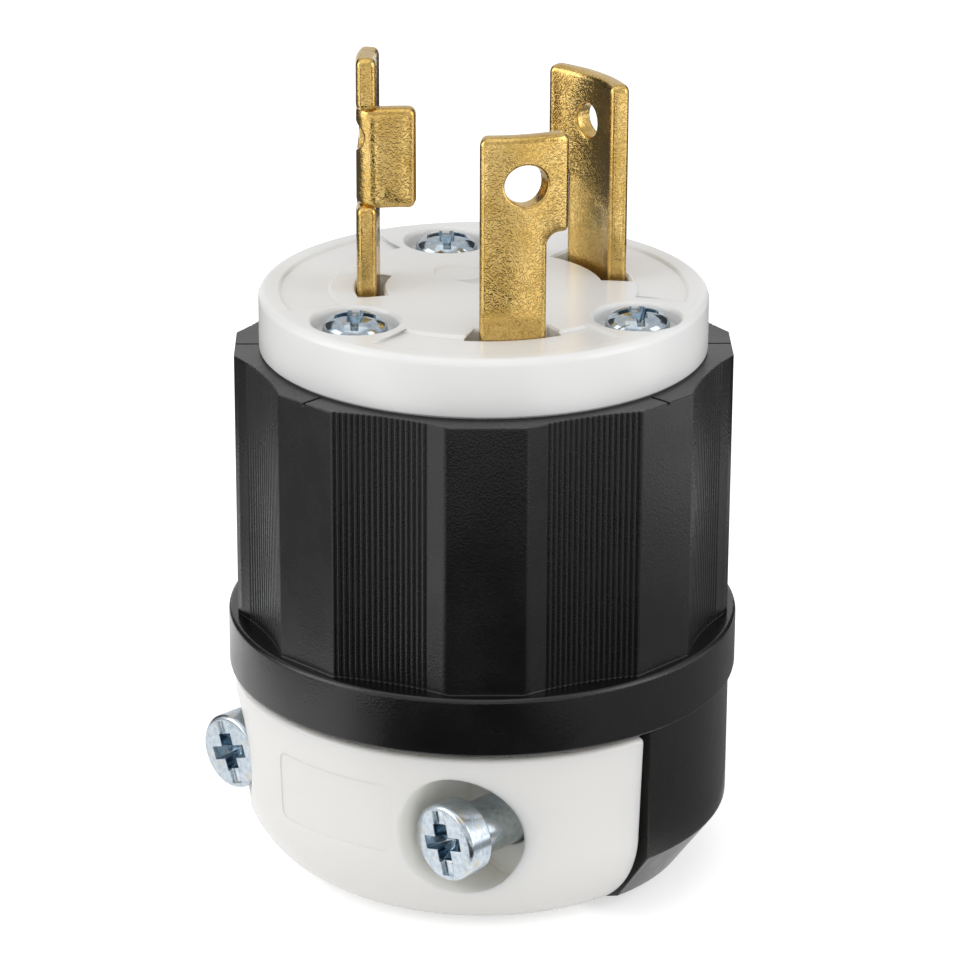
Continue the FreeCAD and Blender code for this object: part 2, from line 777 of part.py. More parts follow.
def terminal_angle(name):
    """The direction of a blade's terminal: the middle of its neck."""
    start, span = BLADES[name][1:3]
    return size(start) + size(span) / 2


def make_terminal_block():
    """The moulding behind the face, with fins between the terminals and posts for the screws."""
    body = new_body("terminal_block")
    disc = add_sketch(body, "disc_outline", "XY_Plane", BLOCK_LOW)
    add_circle(disc, BASE, BASE, size("chamber_radius") - size("block_clearance"))
    pad(body, "disc", disc, size("block_height"))
    posts = add_sketch(body, "post_outlines", "XY_Plane", BOSS_TOP)
    for place in FACE_SCREWS.values():
        add_circle(posts, *polar(*place), size("post_radius"))
    pad(body, "posts", posts, BLOCK_LOW - BOSS_TOP)
    order = ("neutral", "ground", "line", "neutral")
    half_fin = size("fin_thickness") / 2
    for number, (first, second) in enumerate(zip(order, order[1:])):
        turn = (terminal_angle(first) + terminal_angle(second)) / 2
        if first == "line":
            turn = turn - 180
        fin = add_sketch(body, f"fin_outline_{number}", "XY_Plane", BLOCK_LOW, turn)
        add_outline(fin, [(BASE, -half_fin), (size("fin_reach"), -half_fin),
                          (size("fin_reach"), half_fin), (BASE, half_fin)])
        pad(body, f"fin_{number}", fin, size("fin_depth"), reverse=True)

    holes = add_sketch(body, "screw_holes", "XY_Plane", SPIGOT_LOW)
    for place in FACE_SCREWS.values():
        room = size("face_shank_radius") + size("shank_clearance")
        add_circle(holes, *polar(*place), room)
    pocket(body, "shank_holes", holes, SPIGOT_LOW - BOSS_TOP)
    wells = add_sketch(body, "terminal_wells", "XY_Plane", SPIGOT_LOW)
    for name in BLADES:
        room = size("terminal_shank_radius") + size("shank_clearance")
        add_circle(wells, *polar(size("terminal_distance"), terminal_angle(name)), room)
    pocket(body, "terminal_screw_wells", wells, size("block_height"))
    slots = add_sketch(body, "blade_slots", "XY_Plane", SPIGOT_LOW)
    for name in BLADES:
        add_sector(slots, *slot_limits(name))
    pocket(body, "slots", slots, size("block_height"))
    return body


def blade_section(body, name, outer, low, high, turn, span, cut):
    """A curved stretch of a blade, turned from its first angle, with a chamfered tip."""
    inner = outer - size("blade_thickness")
    sketch = add_sketch(body, f"{name}_section", "XZ_Plane", turn=turn)
    add_outline(sketch, [(inner, low), (outer, low), (outer, high - cut), (outer - cut, high),
                         (inner + cut, high), (inner, high - cut)])
    return revolve(body, name, sketch, span)


def add_foot(body, outer, middle):
    """The flat foot inside the plug that the wire is clamped against."""
    foot_low = BLOCK_LOW - size("blade_thickness")
    foot = add_sketch(body, "foot_outline", "XY_Plane", foot_low, middle)
    half = size("foot_width") / 2
    end = outer - size("blade_thickness") / 2
    add_outline(foot, [(size("foot_start"), -half), (end, -half), (end, half),
                       (size("foot_start"), half)])
    room = size("terminal_shank_radius") + size("thread_clearance")
    add_circle(foot, size("terminal_distance"), BASE, room)
    pad(body, "foot", foot, size("blade_thickness"))


def make_current_blade(name):
    """A curved blade with a hook at one side, a hole and a foot inside the plug."""
    body = new_body(f"{name}_blade")
    radius, start, span, hook = (size(alias) for alias in BLADES[name])
    foot_low = BLOCK_LOW - size("blade_thickness")
    tip = FACE_TOP + size("blade_height")
    hook_low = FACE_TOP + size("hook_low")
    cut = size("blade_tip_chamfer")
    blade_section(body, "neck", radius, foot_low, tip, start, span, cut)
    blade_section(body, "hook", radius, hook_low, tip, start, span + hook, cut)

    def in_notch(edge):
        middle_point = polar(radius - size("blade_thickness") / 2, start + span)
        point = Vector(middle_point[0].value, middle_point[1].value, hook_low.value)
        flat = edge.BoundBox.ZLength < 0.01 and edge.Length < size("blade_thickness").value * 1.1
        return flat and edge.CenterOfMass.distanceToPoint(point) < 0.1

    fillet(body, "notch_rounding", in_notch, size("hook_corner_rounding"))
    middle = start + (span + hook) / 2
    hole = add_sketch(body, "hole_outline", "YZ_Plane", turn=middle)
    add_circle(hole, BASE, FACE_TOP + size("blade_hole_height"), size(f"{name}_hole_radius"))
    pocket(body, "hole", hole, radius + BEYOND, along_normal=True)
    add_foot(body, radius, start + span / 2)
    return body


def make_ground_blade():
    """The long blade, with a tab bent in towards the axis along one side."""
    body = new_body("ground_blade")
    radius, start, span = (size(alias) for alias in BLADES["ground"][:3])
    thickness = size("blade_thickness")
    foot_low = BLOCK_LOW - thickness
    tip = FACE_TOP + size("ground_height")
    blade_section(body, "neck", radius, foot_low, tip, start, span, size("ground_tip_chamfer"))
    end = start + span
    low = FACE_TOP + size("tab_low")
    tab = add_sketch(body, "tab_outline", "XY_Plane", low, end)
    inner = radius - size("tab_length")
    flush = root(radius * radius - thickness * thickness)
    add_outline(tab, [(inner, -thickness), (flush, -thickness), (radius, BASE), (inner, BASE)])
    pad(body, "tab", tab, size("tab_height"))
    bend = add_sketch(body, "bend_outline", "XY_Plane", low, end)
    add_corner_waste(bend, radius, BASE, size("tab_bend"))
    pocket(body, "bend", bend, size("tab_height"), along_normal=True)
    hole = add_sketch(body, "hole_outline", "YZ_Plane", turn=start + span / 2)
    add_circle(hole, BASE, FACE_TOP + size("ground_hole_height"), size("ground_hole_radius"))
    pocket(body, "hole", hole, radius + BEYOND, along_normal=True)
    add_foot(body, radius, start + span / 2)
    return body


def make_terminals():
    """A pressure plate and a screw below each blade's foot."""
    foot_low = BLOCK_LOW - size("blade_thickness")
    plate_top = foot_low - size("wire_gap")
    plate_low = plate_top - size("plate_thickness")
    half = size("plate_size") / 2
    made = []
    for name in BLADES:
        angle = terminal_angle(name)
        x, y = polar(size("terminal_distance"), angle)
        plate = new_body(f"{name}_wire_plate")
        outline = add_sketch(plate, "plate_outline", "XY_Plane")
        add_outline(outline, [(-half, -half), (half, -half), (half, half), (-half, half)])
        add_circle(outline, BASE, BASE, size("terminal_shank_radius") + size("shank_clearance"))
        pad(plate, "plate", outline, size("plate_thickness"))
        place_body(plate, x, y, plate_low, turn=angle)
        reach = BLOCK_LOW - plate_low + size("terminal_shank_reach")
        screw = make_screw(f"{name}_terminal_screw",
                           (size("terminal_head_radius"), size("terminal_head_height")),
                           (size("terminal_shank_radius"), reach))
        place_body(screw, x, y, plate_low, tilt=180)
        made += [plate, screw]
    return made


sub_parts = [make_grip_body(), make_clamp_jaw(), make_face_disc(), make_terminal_block()]
sub_parts += [make_current_blade("line"), make_current_blade("neutral"), make_ground_blade()]
sub_parts += make_face_fasteners() + make_clamp_fasteners() + make_terminals()
document.recompute()

for item in document.Objects:
    if "Invalid" in item.State or "Error" in item.State:
        raise RuntimeError(f"{item.Label} did not build: {item.State}")
for sub_part in sub_parts:
    if sub_part.Shape.isNull() or not sub_part.Shape.isValid():
        raise RuntimeError(f"{sub_part.Label} has no valid shape")
    if len(sub_part.Shape.Solids) != 1:
        raise RuntimeError(f"{sub_part.Label} is not one solid")

os.makedirs("parts", exist_ok=True)
for sub_part in sub_parts:
    sub_part.Shape.exportStep(os.path.join("parts", f"{sub_part.Label}.step"))
    box = sub_part.Shape.BoundBox
    print(f"{sub_part.Label}: {sub_part.Shape.Volume:.1f} mm3, z {box.ZMin:.2f} to {box.ZMax:.2f}")
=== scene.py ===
import bmesh
import bpy
import json
import math
from mathutils import Euler, Matrix, Vector


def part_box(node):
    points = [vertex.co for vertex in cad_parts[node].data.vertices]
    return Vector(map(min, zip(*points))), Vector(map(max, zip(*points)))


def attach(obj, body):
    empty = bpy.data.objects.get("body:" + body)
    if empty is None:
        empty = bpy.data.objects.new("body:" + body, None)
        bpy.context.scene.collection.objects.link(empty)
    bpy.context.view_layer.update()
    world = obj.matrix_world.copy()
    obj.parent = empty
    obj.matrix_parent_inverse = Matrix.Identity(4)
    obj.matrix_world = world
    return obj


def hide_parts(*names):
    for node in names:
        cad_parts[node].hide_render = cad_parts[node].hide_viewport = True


MM = 0.001

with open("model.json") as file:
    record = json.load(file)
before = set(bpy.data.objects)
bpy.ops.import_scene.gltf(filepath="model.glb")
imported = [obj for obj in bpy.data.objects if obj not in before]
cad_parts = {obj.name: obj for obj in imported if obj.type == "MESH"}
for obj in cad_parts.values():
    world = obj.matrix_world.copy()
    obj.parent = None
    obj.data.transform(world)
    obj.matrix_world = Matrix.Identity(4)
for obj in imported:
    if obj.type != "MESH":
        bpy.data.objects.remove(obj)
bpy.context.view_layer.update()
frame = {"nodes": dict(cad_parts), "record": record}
nodes = frame["nodes"]
scene = bpy.context.scene


# Camera

CAMERA_AZIMUTH = 44.0
CAMERA_ELEVATION = 20.76
CAMERA_DISTANCE = 0.41507
CAMERA_LENS = 156.69
CAMERA_ROLL = 0.25
TARGET_HEIGHT = 0.0397
TARGET_SHIFT = -0.003


def around(azimuth, elevation, distance, height=TARGET_HEIGHT):
    """A point round the object, as seen from the target. Azimuth 0 looks along +Y."""
    a, e = math.radians(azimuth), math.radians(elevation)
    out = Vector((math.sin(a) * math.cos(e), -math.cos(a) * math.cos(e), math.sin(e)))
    return Vector((0, 0, height)) + out * distance


def look_at(obj, target):
    """Turns an object so that its -Z axis points at the target."""
    obj.rotation_mode = "QUATERNION"
    obj.rotation_quaternion = (Vector(target) - obj.location).to_track_quat("-Z", "Y")


def make_camera():
    """The photo's long lens, a little above the face."""
    data = bpy.data.cameras.new("camera")
    camera = bpy.data.objects.new("camera", data)
    scene.collection.objects.link(camera)
    camera.location = around(CAMERA_AZIMUTH, CAMERA_ELEVATION, CAMERA_DISTANCE)
    look_at(camera, (0, 0, TARGET_HEIGHT))
    roll = Euler((0, 0, math.radians(CAMERA_ROLL))).to_quaternion()
    camera.rotation_quaternion = camera.rotation_quaternion @ roll
    data.lens = CAMERA_LENS
    data.sensor_width = 36
    data.shift_x = TARGET_SHIFT
    data.clip_start, data.clip_end = 0.01, 20
    scene.camera = camera


make_camera()
scene.view_settings.view_transform = "Standard"


# Materials

class Shader:
    """A node tree with one Principled shader and short ways to feed it."""

    def __init__(self, name):
        self.material = bpy.data.materials.new(name)
        self.material.use_nodes = True
        self.tree = self.material.node_tree
        self.tree.nodes.clear()
        self.output = self.node("ShaderNodeOutputMaterial")
        self.principled = self.node("ShaderNodeBsdfPrincipled")
        self.link(self.principled.outputs[0], self.output.inputs[0])
        self.place = self.node("ShaderNodeTexCoord").outputs["Object"]
        self.bumped = None

    def node(self, kind, **settings):
        made = self.tree.nodes.new(kind)
        for name, setting in settings.items():
            setattr(made, name, setting)
        return made

    def link(self, source, target):
        self.tree.links.new(source, target)

    def feed(self, target, given):
        """Links a socket, or sets a plain value."""
        if isinstance(given, bpy.types.NodeSocket):
            self.link(given, target)
        else:
            target.default_value = given

    def set(self, **values):
        """Sets or links the shader's own sockets."""
        for name, given in values.items():
            self.feed(self.principled.inputs[name.replace("_", " ")], given)

    def noise(self, size, detail=3.0, rough=0.55, distortion=0.0):
        """Noise whose features are about the given size in millimetres."""
        made = self.node("ShaderNodeTexNoise")
        self.link(self.place, made.inputs["Vector"])
        made.inputs["Scale"].default_value = 1 / (size * MM)
        made.inputs["Detail"].default_value = detail
        made.inputs["Roughness"].default_value = rough
        made.inputs["Distortion"].default_value = distortion
        return made.outputs["Fac"]

    def cells(self, size):
        """Cells of about the given size in millimetres."""
        made = self.node("ShaderNodeTexVoronoi", feature="F1")
        self.link(self.place, made.inputs["Vector"])
        made.inputs["Scale"].default_value = 1 / (size * MM)
        return made.outputs["Distance"]

    def ramp(self, source, low, high, start, end):
        """Maps a value from low..high to start..end, clamped."""
        made = self.node("ShaderNodeMapRange")
        self.link(source, made.inputs["Value"])
        for name, number in (("From Min", low), ("From Max", high), ("To Min", start),
                             ("To Max", end)):
            made.inputs[name].default_value = number
        return made.outputs[0]

    def mix(self, factor, first, second):
        """Mixes two colours."""
        made = self.node("ShaderNodeMix", data_type="RGBA")
        self.feed(made.inputs[0], factor)
        self.feed(made.inputs[6], first)
        self.feed(made.inputs[7], second)
        return made.outputs[2]

    def math(self, operation, first, second=0.0):
        """One sum of two values, or of one."""
        made = self.node("ShaderNodeMath", operation=operation)
        self.feed(made.inputs[0], first)
        self.feed(made.inputs[1], second)
        return made.outputs[0]

    def soften(self, radius):
        """Rounds the look of edges, by a radius in millimetres."""
        made = self.node("ShaderNodeBevel", samples=6)
        made.inputs["Radius"].default_value = radius * MM
        self.bumped = made.outputs[0]
        self.link(self.bumped, self.principled.inputs["Normal"])

    def bump(self, height, depth, strength=1.0):
        """Adds a bump of a depth in millimetres to what is there."""
        made = self.node("ShaderNodeBump")
        made.inputs["Strength"].default_value = strength
        made.inputs["Distance"].default_value = depth * MM
        self.link(height, made.inputs["Height"])
        if self.bumped:
            self.link(self.bumped, made.inputs["Normal"])
        self.bumped = made.outputs[0]
        self.link(self.bumped, self.principled.inputs["Normal"])


def grey(value):
    """A grey as a colour."""
    return (value, value, value, 1)


def nylon_white(name, base, shade, rough, lip, milky):
    """Moulded nylon: milky, slightly glossy, with a faint drift of its shade."""
    s = Shader(name)
    clouds = s.noise(6.0, 2.0)
    s.set(Base_Color=s.mix(s.ramp(clouds, 0.1, 0.9, 0, 1), base, shade), Roughness=rough)
    s.set(Subsurface_Weight=milky, Subsurface_Radius=(1.0, 0.95, 0.85), Subsurface_Scale=0.003)
    s.set(IOR=1.5, Specular_IOR_Level=0.5)
    s.soften(lip)
    return s.material


def nylon_black():
    """Moulded black nylon with a fine grain, glossier in patches."""
    s = Shader("black_nylon")
    patches = s.noise(7.0, 3.0)
    dust = s.noise(0.25, 5.0, 0.7)
    s.set(Base_Color=s.mix(s.ramp(dust, 0.45, 0.8, 0, 1), grey(0.0015), grey(0.005)))
    s.set(Roughness=s.ramp(patches, 0.3, 0.7, 0.22, 0.32))
    s.set(IOR=1.53, Specular_IOR_Level=0.5)
    s.soften(0.2)
    s.bump(s.cells(0.24), 0.025, 0.4)
    return s.material


PIT_BROWN = (0.16, 0.09, 0.03, 1)


def brass(name, light, dark, rough):
    """Stamped brass: satin, with a fine orange-peel skin and a few dark pits."""
    s = Shader(name)
    peel = s.noise(0.38, 0.0, 0.5, distortion=1.0)
    ridges = s.math("ABSOLUTE", s.math("SUBTRACT", peel, 0.5))
    tone = s.noise(3.0, 3.0)
    pits = s.noise(0.9, 6.0, 0.7)
    colour = s.mix(s.ramp(tone, 0.35, 0.7, 0, 1), light, dark)
    colour = s.mix(s.ramp(ridges, 0.0, 0.1, 0.5, 0.0), colour, tuple(0.4 * c for c in dark))
    colour = s.mix(s.ramp(pits, 0.72, 0.78, 0, 0.8), colour, PIT_BROWN)
    s.set(Base_Color=colour, Metallic=1.0)
    s.set(Roughness=s.ramp(tone, 0.3, 0.7, rough - 0.04, rough + 0.05))
    s.bump(s.ramp(ridges, 0.0, 0.14, 0.0, 1.0), 0.012, 0.6)
    s.bump(s.noise(1.8, 2.0), 0.03, 0.3)
    return s.material


def zinc(name, light, dark, tarnish, rough):
    """Zinc plate: bluish, slightly uneven, with faint yellow stains."""
    s = Shader(name)
    stain = s.noise(1.6, 4.0, 0.6)
    cloud = s.noise(0.6, 4.0, 0.6)
    base = s.mix(s.ramp(cloud, 0.35, 0.7, 0, 1), light, dark)
    base = s.mix(s.ramp(stain, 0.54, 0.68, 0, 0.55), base, tarnish)
    s.set(Base_Color=base, Metallic=1.0)
    s.set(Roughness=s.ramp(cloud, 0.3, 0.7, rough - 0.04, rough + 0.14))
    s.soften(0.16)
    s.bump(cloud, 0.01, 0.4)
    return s.material


WHITE = nylon_white("white_nylon", (0.81, 0.81, 0.80, 1), (0.80, 0.80, 0.795, 1), 0.24, 0.15, 0.2)
JAW_WHITE = nylon_white("jaw_nylon", (0.81, 0.80, 0.78, 1), (0.80, 0.79, 0.765, 1), 0.27, 0.3, 0.7)
# A lighter, warmer copy of the jaw's white for the walls of the counterbores and slots: painted light
# in those hollows.
BORE_LIT_WHITE = nylon_white("jaw_bore_painted_light", (0.95, 0.93, 0.87, 1), (0.94, 0.92, 0.86, 1), 0.35, 0.3, 0.7)
BLACK = nylon_black()
BLADE = brass("blade_brass", (0.72, 0.50, 0.18, 1), (0.60, 0.39, 0.11, 1), 0.12)
INSERT = brass("insert_brass", (0.76, 0.56, 0.26, 1), (0.62, 0.42, 0.16, 1), 0.33)
ZINC = zinc("zinc_steel", (0.55, 0.61, 0.66, 1), (0.38, 0.44, 0.50, 1), (0.55, 0.47, 0.31, 1), 0.16)
# A darker, glossier copy of the zinc for the domed face screws: its darker colour is painted shade.
ZINC_DOME_SHADE = zinc("zinc_dome_painted_shade", (0.50, 0.57, 0.63, 1), (0.32, 0.39, 0.46, 1), (0.50, 0.45, 0.33, 1), 0.08)
# A lighter copy of the zinc for the clamp screws' slots: a painted highlight on the slot bottoms.
ZINC_SLOT_LIT = zinc("zinc_slot_painted_light", (0.62, 0.68, 0.74, 1), (0.42, 0.49, 0.56, 1), (0.55, 0.50, 0.38, 1), 0.14)
# A darker copy of the zinc for the crosses and for the face screws' slots: painted shade in the
# recesses.
ZINC_RECESS_SHADE = zinc("zinc_recess_painted_shade", (0.22, 0.30, 0.37, 1), (0.11, 0.17, 0.23, 1), (0.30, 0.26, 0.20, 1),
                   0.08)
BY_SLOT = {
    "white_nylon": WHITE,
    "jaw_nylon": JAW_WHITE,
    "black_nylon": BLACK,
    "blade_brass": BLADE,
    "insert_brass": INSERT,
    "zinc_steel": ZINC,
}
SLOT_OF = {part["node"]: part["material_slot"] for part in frame["record"]["subparts"]}


# Helpers for the pieces

def new_piece(name, mesh, node=None, body="housing", dressed=False):
    """Adds a piece that rides on a body and may take a node's place and finish."""
    piece = bpy.data.objects.new(name, mesh)
    scene.collection.objects.link(piece)
    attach(piece, body)
    if node:
        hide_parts(node)
    if node and not dressed:
        mesh.materials.clear()
        mesh.materials.append(BY_SLOT[SLOT_OF[node]])
    return piece


def smooth_faces(piece, angle):
    """Smooth shading up to an angle, weighted by face area."""
    piece.data.shade_smooth()
    piece.data.set_sharp_from_angle(angle=math.radians(angle))
    weigh = piece.modifiers.new("even_shading", "WEIGHTED_NORMAL")
    weigh.keep_sharp = True


# How close points are joined, and from what angle an edge is rounded
WELD = 0.002
SHARP_ANGLE = 36.0


def round_edges(work, width, wanted):
    """Rounds the sharp edges of a bmesh whose middles are wanted. Width is in millimetres."""
    sharp = []
    for edge in work.edges:
        if len(edge.link_faces) != 2 or edge.calc_face_angle(0) < math.radians(SHARP_ANGLE):
            continue
        if wanted((edge.verts[0].co + edge.verts[1].co) / 2 / MM):
            sharp.append(edge)
    bmesh.ops.bevel(work, geom=sharp, offset=width * MM, offset_type="OFFSET", segments=3,
                    profile=0.5, affect="EDGES", clamp_overlap=False)


def finish_copy(node, width, wanted):
    """A copy of a node with rounded edges, which takes the node's place."""
    work = bmesh.new()
    work.from_mesh(nodes[node].data)
    for layer in ("custom_normal", "sharp_edge"):
        for kind in (work.loops.layers, work.edges.layers):
            for group in (kind.float_vector, kind.bool):
                if layer in group:
                    group.remove(group[layer])
    bmesh.ops.remove_doubles(work, verts=work.verts, dist=WELD * MM)
    bmesh.ops.dissolve_limit(work, angle_limit=math.radians(0.4), verts=work.verts,
                             edges=work.edges)
    round_edges(work, width, wanted)
    mesh = bpy.data.meshes.new(f"{node}_finish")
    work.to_mesh(mesh)
    work.free()
    if "custom_normal" in mesh.attributes:
        mesh.attributes.remove(mesh.attributes["custom_normal"])
    smooth_faces(new_piece(f"{node}_finish", mesh, node), 35.0)


def spin_profile(profile, steps=64, ring=False):
    """A bmesh turned about Z from points of radius and height in millimetres, bottom first.

    A ring's profile goes on from its last point to its first.
    """
    work = bmesh.new()
    rings = []
    for radius, height in profile:
        if radius == 0:
            rings.append([work.verts.new((0, 0, height * MM))])
            continue
        rings.append([
            work.verts.new((radius * MM * math.cos(turn), radius * MM * math.sin(turn), height * MM))
            for turn in (math.tau * step / steps for step in range(steps))
        ])
    pairs = list(zip(rings, rings[1:]))
    if ring:
        pairs.append((rings[-1], rings[0]))
    for low, high in pairs:
        for step in range(steps):
            after = (step + 1) % steps
            corners = [low[step % len(low)], low[after % len(low)],
                       high[after % len(high)], high[step % len(high)]]
            work.faces.new(list(dict.fromkeys(corners)))
    return work


def to_object(name, work):
    """Turns a bmesh into an object that isn't a piece yet."""
    mesh = bpy.data.meshes.new(name)
    bmesh.ops.recalc_face_normals(work, faces=work.faces)
    work.to_mesh(mesh)
    work.free()
    made = bpy.data.objects.new(name, mesh)
    scene.collection.objects.link(made)
    return made


def stacked_outlines(outlines):
    """A closed form through outlines with equal counts, each a height and its points."""
    work = bmesh.new()
    rings = [[work.verts.new((x * MM, y * MM, height * MM)) for x, y in points]
             for height, points in outlines]
    count = len(rings[0])
    work.faces.new(list(reversed(rings[0])))
    work.faces.new(rings[-1])
    for low, high in zip(rings, rings[1:]):
        for corner in range(count):
            after = (corner + 1) % count
            work.faces.new([low[corner], low[after], high[after], high[corner]])
    return work


def cut_away(target, cutters):
    """Subtracts cutter objects from an object and removes them. Returns the mesh."""
    for number, cutter in enumerate(cutters):
        cut = target.modifiers.new(f"cut_{number}", "BOOLEAN")
        cut.operation = "DIFFERENCE"
        cut.solver = "EXACT"
        cut.material_mode = "TRANSFER"
        cut.object = cutter
    bpy.context.view_layer.update()
    graph = bpy.context.evaluated_depsgraph_get()
    mesh = bpy.data.meshes.new_from_object(target.evaluated_get(graph))
    for spare in [target, *cutters]:
        bpy.data.objects.remove(spare)
    return mesh


def rectangle(half_x, half_y):
    """The corners of a rectangle about the origin, from its half sizes."""
    return [(-half_x, -half_y), (half_x, -half_y), (half_x, half_y), (-half_x, half_y)]


def middle_of(node):
    """The middle of a node's box, in metres."""
    low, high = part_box(node)
    return (Vector(low) + Vector(high)) / 2


# Screws

FACE_HEAD_RADIUS = 3.15
FACE_HEAD_HEIGHT = 2.3
FACE_HEAD_RIM = 0.75
FACE_SHANK_RADIUS = 1.75
CLAMP_HEAD_RADIUS = 3.85
CLAMP_HEAD_HEIGHT = 3.0
CLAMP_HEAD_EDGE = 0.45
CLAMP_SHANK_RADIUS = 2.7
CLAMP_SHANK_TIP = 0.4

# Half width, half length and depth of each slot in a head
FACE_SLOT = (0.42, 3.6, 0.85)
CLAMP_SLOT = (0.78, 3.25, 0.42)

# A slot's width at its bottom and above the head, as shares of its named width
SLOT_BOTTOM, SLOT_ABOVE = 0.8, 1.3

# Reach and half width of a cross's long bar, the same for its short bar, and its depth
FACE_CROSS = (1.9, 0.75, 2.1, 0.6, 1.6)
CLAMP_CROSS = (1.95, 0.88, 2.35, 0.66, 1.7)

# The cross tapers: a share of its depth, and the share of its width there
CROSS_TAPER = ((1.0, 0.16), (0.93, 0.4), (0.75, 0.64), (0.5, 0.82), (0.22, 0.94), (0.0, 1.0),
               (-0.6, 1.1))

# Turn of each slot about its screw, in radians on the face and in degrees on the clamp
FACE_TURNS = {"rear": 0.04, "left": 0.0, "right": 0.10}
CLAMP_TILTS = {"left": 20.0, "right": 14.0}


def cross_points(reach, half, side_reach, side_half):
    """A cross with a long bar along Y and a short bar along X."""
    return [(-half, -reach), (half, -reach), (half, -side_half), (side_reach, -side_half),
            (side_reach, side_half), (half, side_half), (half, reach), (-half, reach),
            (-half, side_half), (-side_reach, side_half), (-side_reach, -side_half),
            (-half, -side_half)]


def screw_piece(node, body, profile, slot, cross, place, turn, finishes):
    """A turned screw with a slot and a tapered cross in its head, put where its node is.

    The profile ends at the top of the head. finishes are those of the screw, the slot and
    the cross.
    """
    top = profile[-1][1]
    blank = to_object(f"{node}_blank", spin_profile(profile))
    half, length, depth = slot
    groove = stacked_outlines([(top - depth, rectangle(half * SLOT_BOTTOM, length)),
                               (top + 1, rectangle(half * SLOT_ABOVE, length))])
    *bars, deep = cross
    socket = stacked_outlines([(top - deep * share, cross_points(*(bar * size for bar in bars)))
                               for share, size in CROSS_TAPER])
    cutters = [to_object(f"{node}_groove", groove), to_object(f"{node}_socket", socket)]
    for part, finish in zip((blank, *cutters), finishes):
        part.data.materials.append(finish)
    cut = cut_away(blank, cutters)
    work = bmesh.new()
    work.from_mesh(cut)
    bmesh.ops.remove_doubles(work, verts=work.verts, dist=WELD * MM)
    bmesh.ops.transform(work, matrix=place @ Matrix.Rotation(turn, 4, "Z"), verts=work.verts)
    mesh = bpy.data.meshes.new(f"{node}_finish")
    work.to_mesh(mesh)
    work.free()
    for finish in cut.materials:
        mesh.materials.append(finish)
    smooth_faces(new_piece(f"{node}_finish", mesh, node, body, dressed=True), 40.0)


def dome_points(radius, rim, crown, steps=7):
    """Points of a domed head from its rim to the top of its crown."""
    angles = [math.pi / 2 * step / steps for step in range(steps)]
    side = [(radius * math.cos(a), rim + crown * math.sin(a)) for a in angles]
    return side + [(0, rim + crown)]


def make_face_screws():
    """Domed screws in the face, each with its slot towards the camera's side."""
    for name, turn in FACE_TURNS.items():
        node = f"face_screw_{name}"
        low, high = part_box(node)
        middle = middle_of(node)
        top = high[2] / MM
        length = (high[2] - low[2]) / MM - FACE_HEAD_HEIGHT
        profile = [(0, -length), (FACE_SHANK_RADIUS, -length), (FACE_SHANK_RADIUS, 0),
                   (FACE_HEAD_RADIUS - 0.15, 0), (FACE_HEAD_RADIUS, 0.15)]
        profile += dome_points(FACE_HEAD_RADIUS, FACE_HEAD_RIM, FACE_HEAD_HEIGHT - FACE_HEAD_RIM)
        place = Matrix.Translation((middle.x, middle.y, (top - FACE_HEAD_HEIGHT) * MM))
        # The heads take the darker dome zinc, and the slots and crosses the darker recess zinc: painted
        # shade.
        screw_piece(node, "housing", profile, FACE_SLOT, FACE_CROSS, place,
                    math.radians(CAMERA_AZIMUTH) + turn, (ZINC_DOME_SHADE, ZINC_RECESS_SHADE, ZINC_RECESS_SHADE))


def make_clamp_screws():
    """The two clamp screws, whose heads stand out of the jaw."""
    shank, radius, head, edge = (CLAMP_SHANK_RADIUS, CLAMP_HEAD_RADIUS, CLAMP_HEAD_HEIGHT,
                                 CLAMP_HEAD_EDGE)
    for name, tilt in CLAMP_TILTS.items():
        node = f"clamp_screw_{name}"
        low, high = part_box(node)
        middle = middle_of(node)
        length = (high[1] - low[1]) / MM - head
        profile = [(0, -length), (shank - CLAMP_SHANK_TIP, -length), (shank, -length + 0.5),
                   (shank, -0.15), (shank + 0.12, 0), (radius - 0.2, 0), (radius, 0.2)]
        for step in range(5):
            a = math.pi / 2 * step / 4
            profile.append((radius - edge + edge * math.cos(a),
                            head - edge + edge * math.sin(a) - 0.06))
        profile += [(radius * 0.45, head - 0.02), (0, head)]
        place = Matrix.Translation((middle.x, (low[1] / MM + head) * MM, middle.z))
        place = place @ Matrix.Rotation(math.pi / 2, 4, "X")
        # The slots take the lighter slot zinc, a painted highlight, and the crosses the darker recess
        # zinc, painted shade.
        screw_piece(node, node, profile, CLAMP_SLOT, CLAMP_CROSS, place, math.radians(tilt),
                    (ZINC, ZINC_SLOT_LIT, ZINC_RECESS_SHADE))


# Blades

# Outer radius, first angle and span of each blade's arc round the plug's axis
BLADE_ARCS = {"line": (15.6, 312.4, 24.5), "neutral": (14.5, 57.0, 37.0),
              "ground": (12.4, 207.0, 28.0)}
BLADE_THICKNESS = 1.9
BLADE_CUT_BELOW_FACE = 2.0
BLADE_CUT_OVERLAP = 0.1
CORNER_STEP = 0.16

# How far the edges of a blade and of its hole are rolled over
BLADE_ROLL, BLADE_HOLE_ROLL = 0.62, 0.22
GROUND_ROLL, GROUND_HOLE_ROLL = 0.6, 0.2

# Each current blade's hook, in degrees, and the radius of its hole
HOOKS = {"line": (8.4, 2.0), "neutral": (10.4, 1.7)}
HOOK_ABOVE_FACE = 9.8
HOLE_ABOVE_FACE = 14.7

# The ground blade's folded middle, above the face, and its hole
TAB_LOW, TAB_HIGH = 8.4, 18.35
TAB_LENGTH = 5.8
TAB_FOLD = 1.2
TAB_BOW = 12.0
BAND_THINNER = 0.04
GROUND_HOLE_ABOVE_FACE = 15.3
GROUND_HOLE_RADIUS = 1.45

FACE_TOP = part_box("face_disc")[1][2] / MM
SHEET_LOW = FACE_TOP - BLADE_CUT_BELOW_FACE


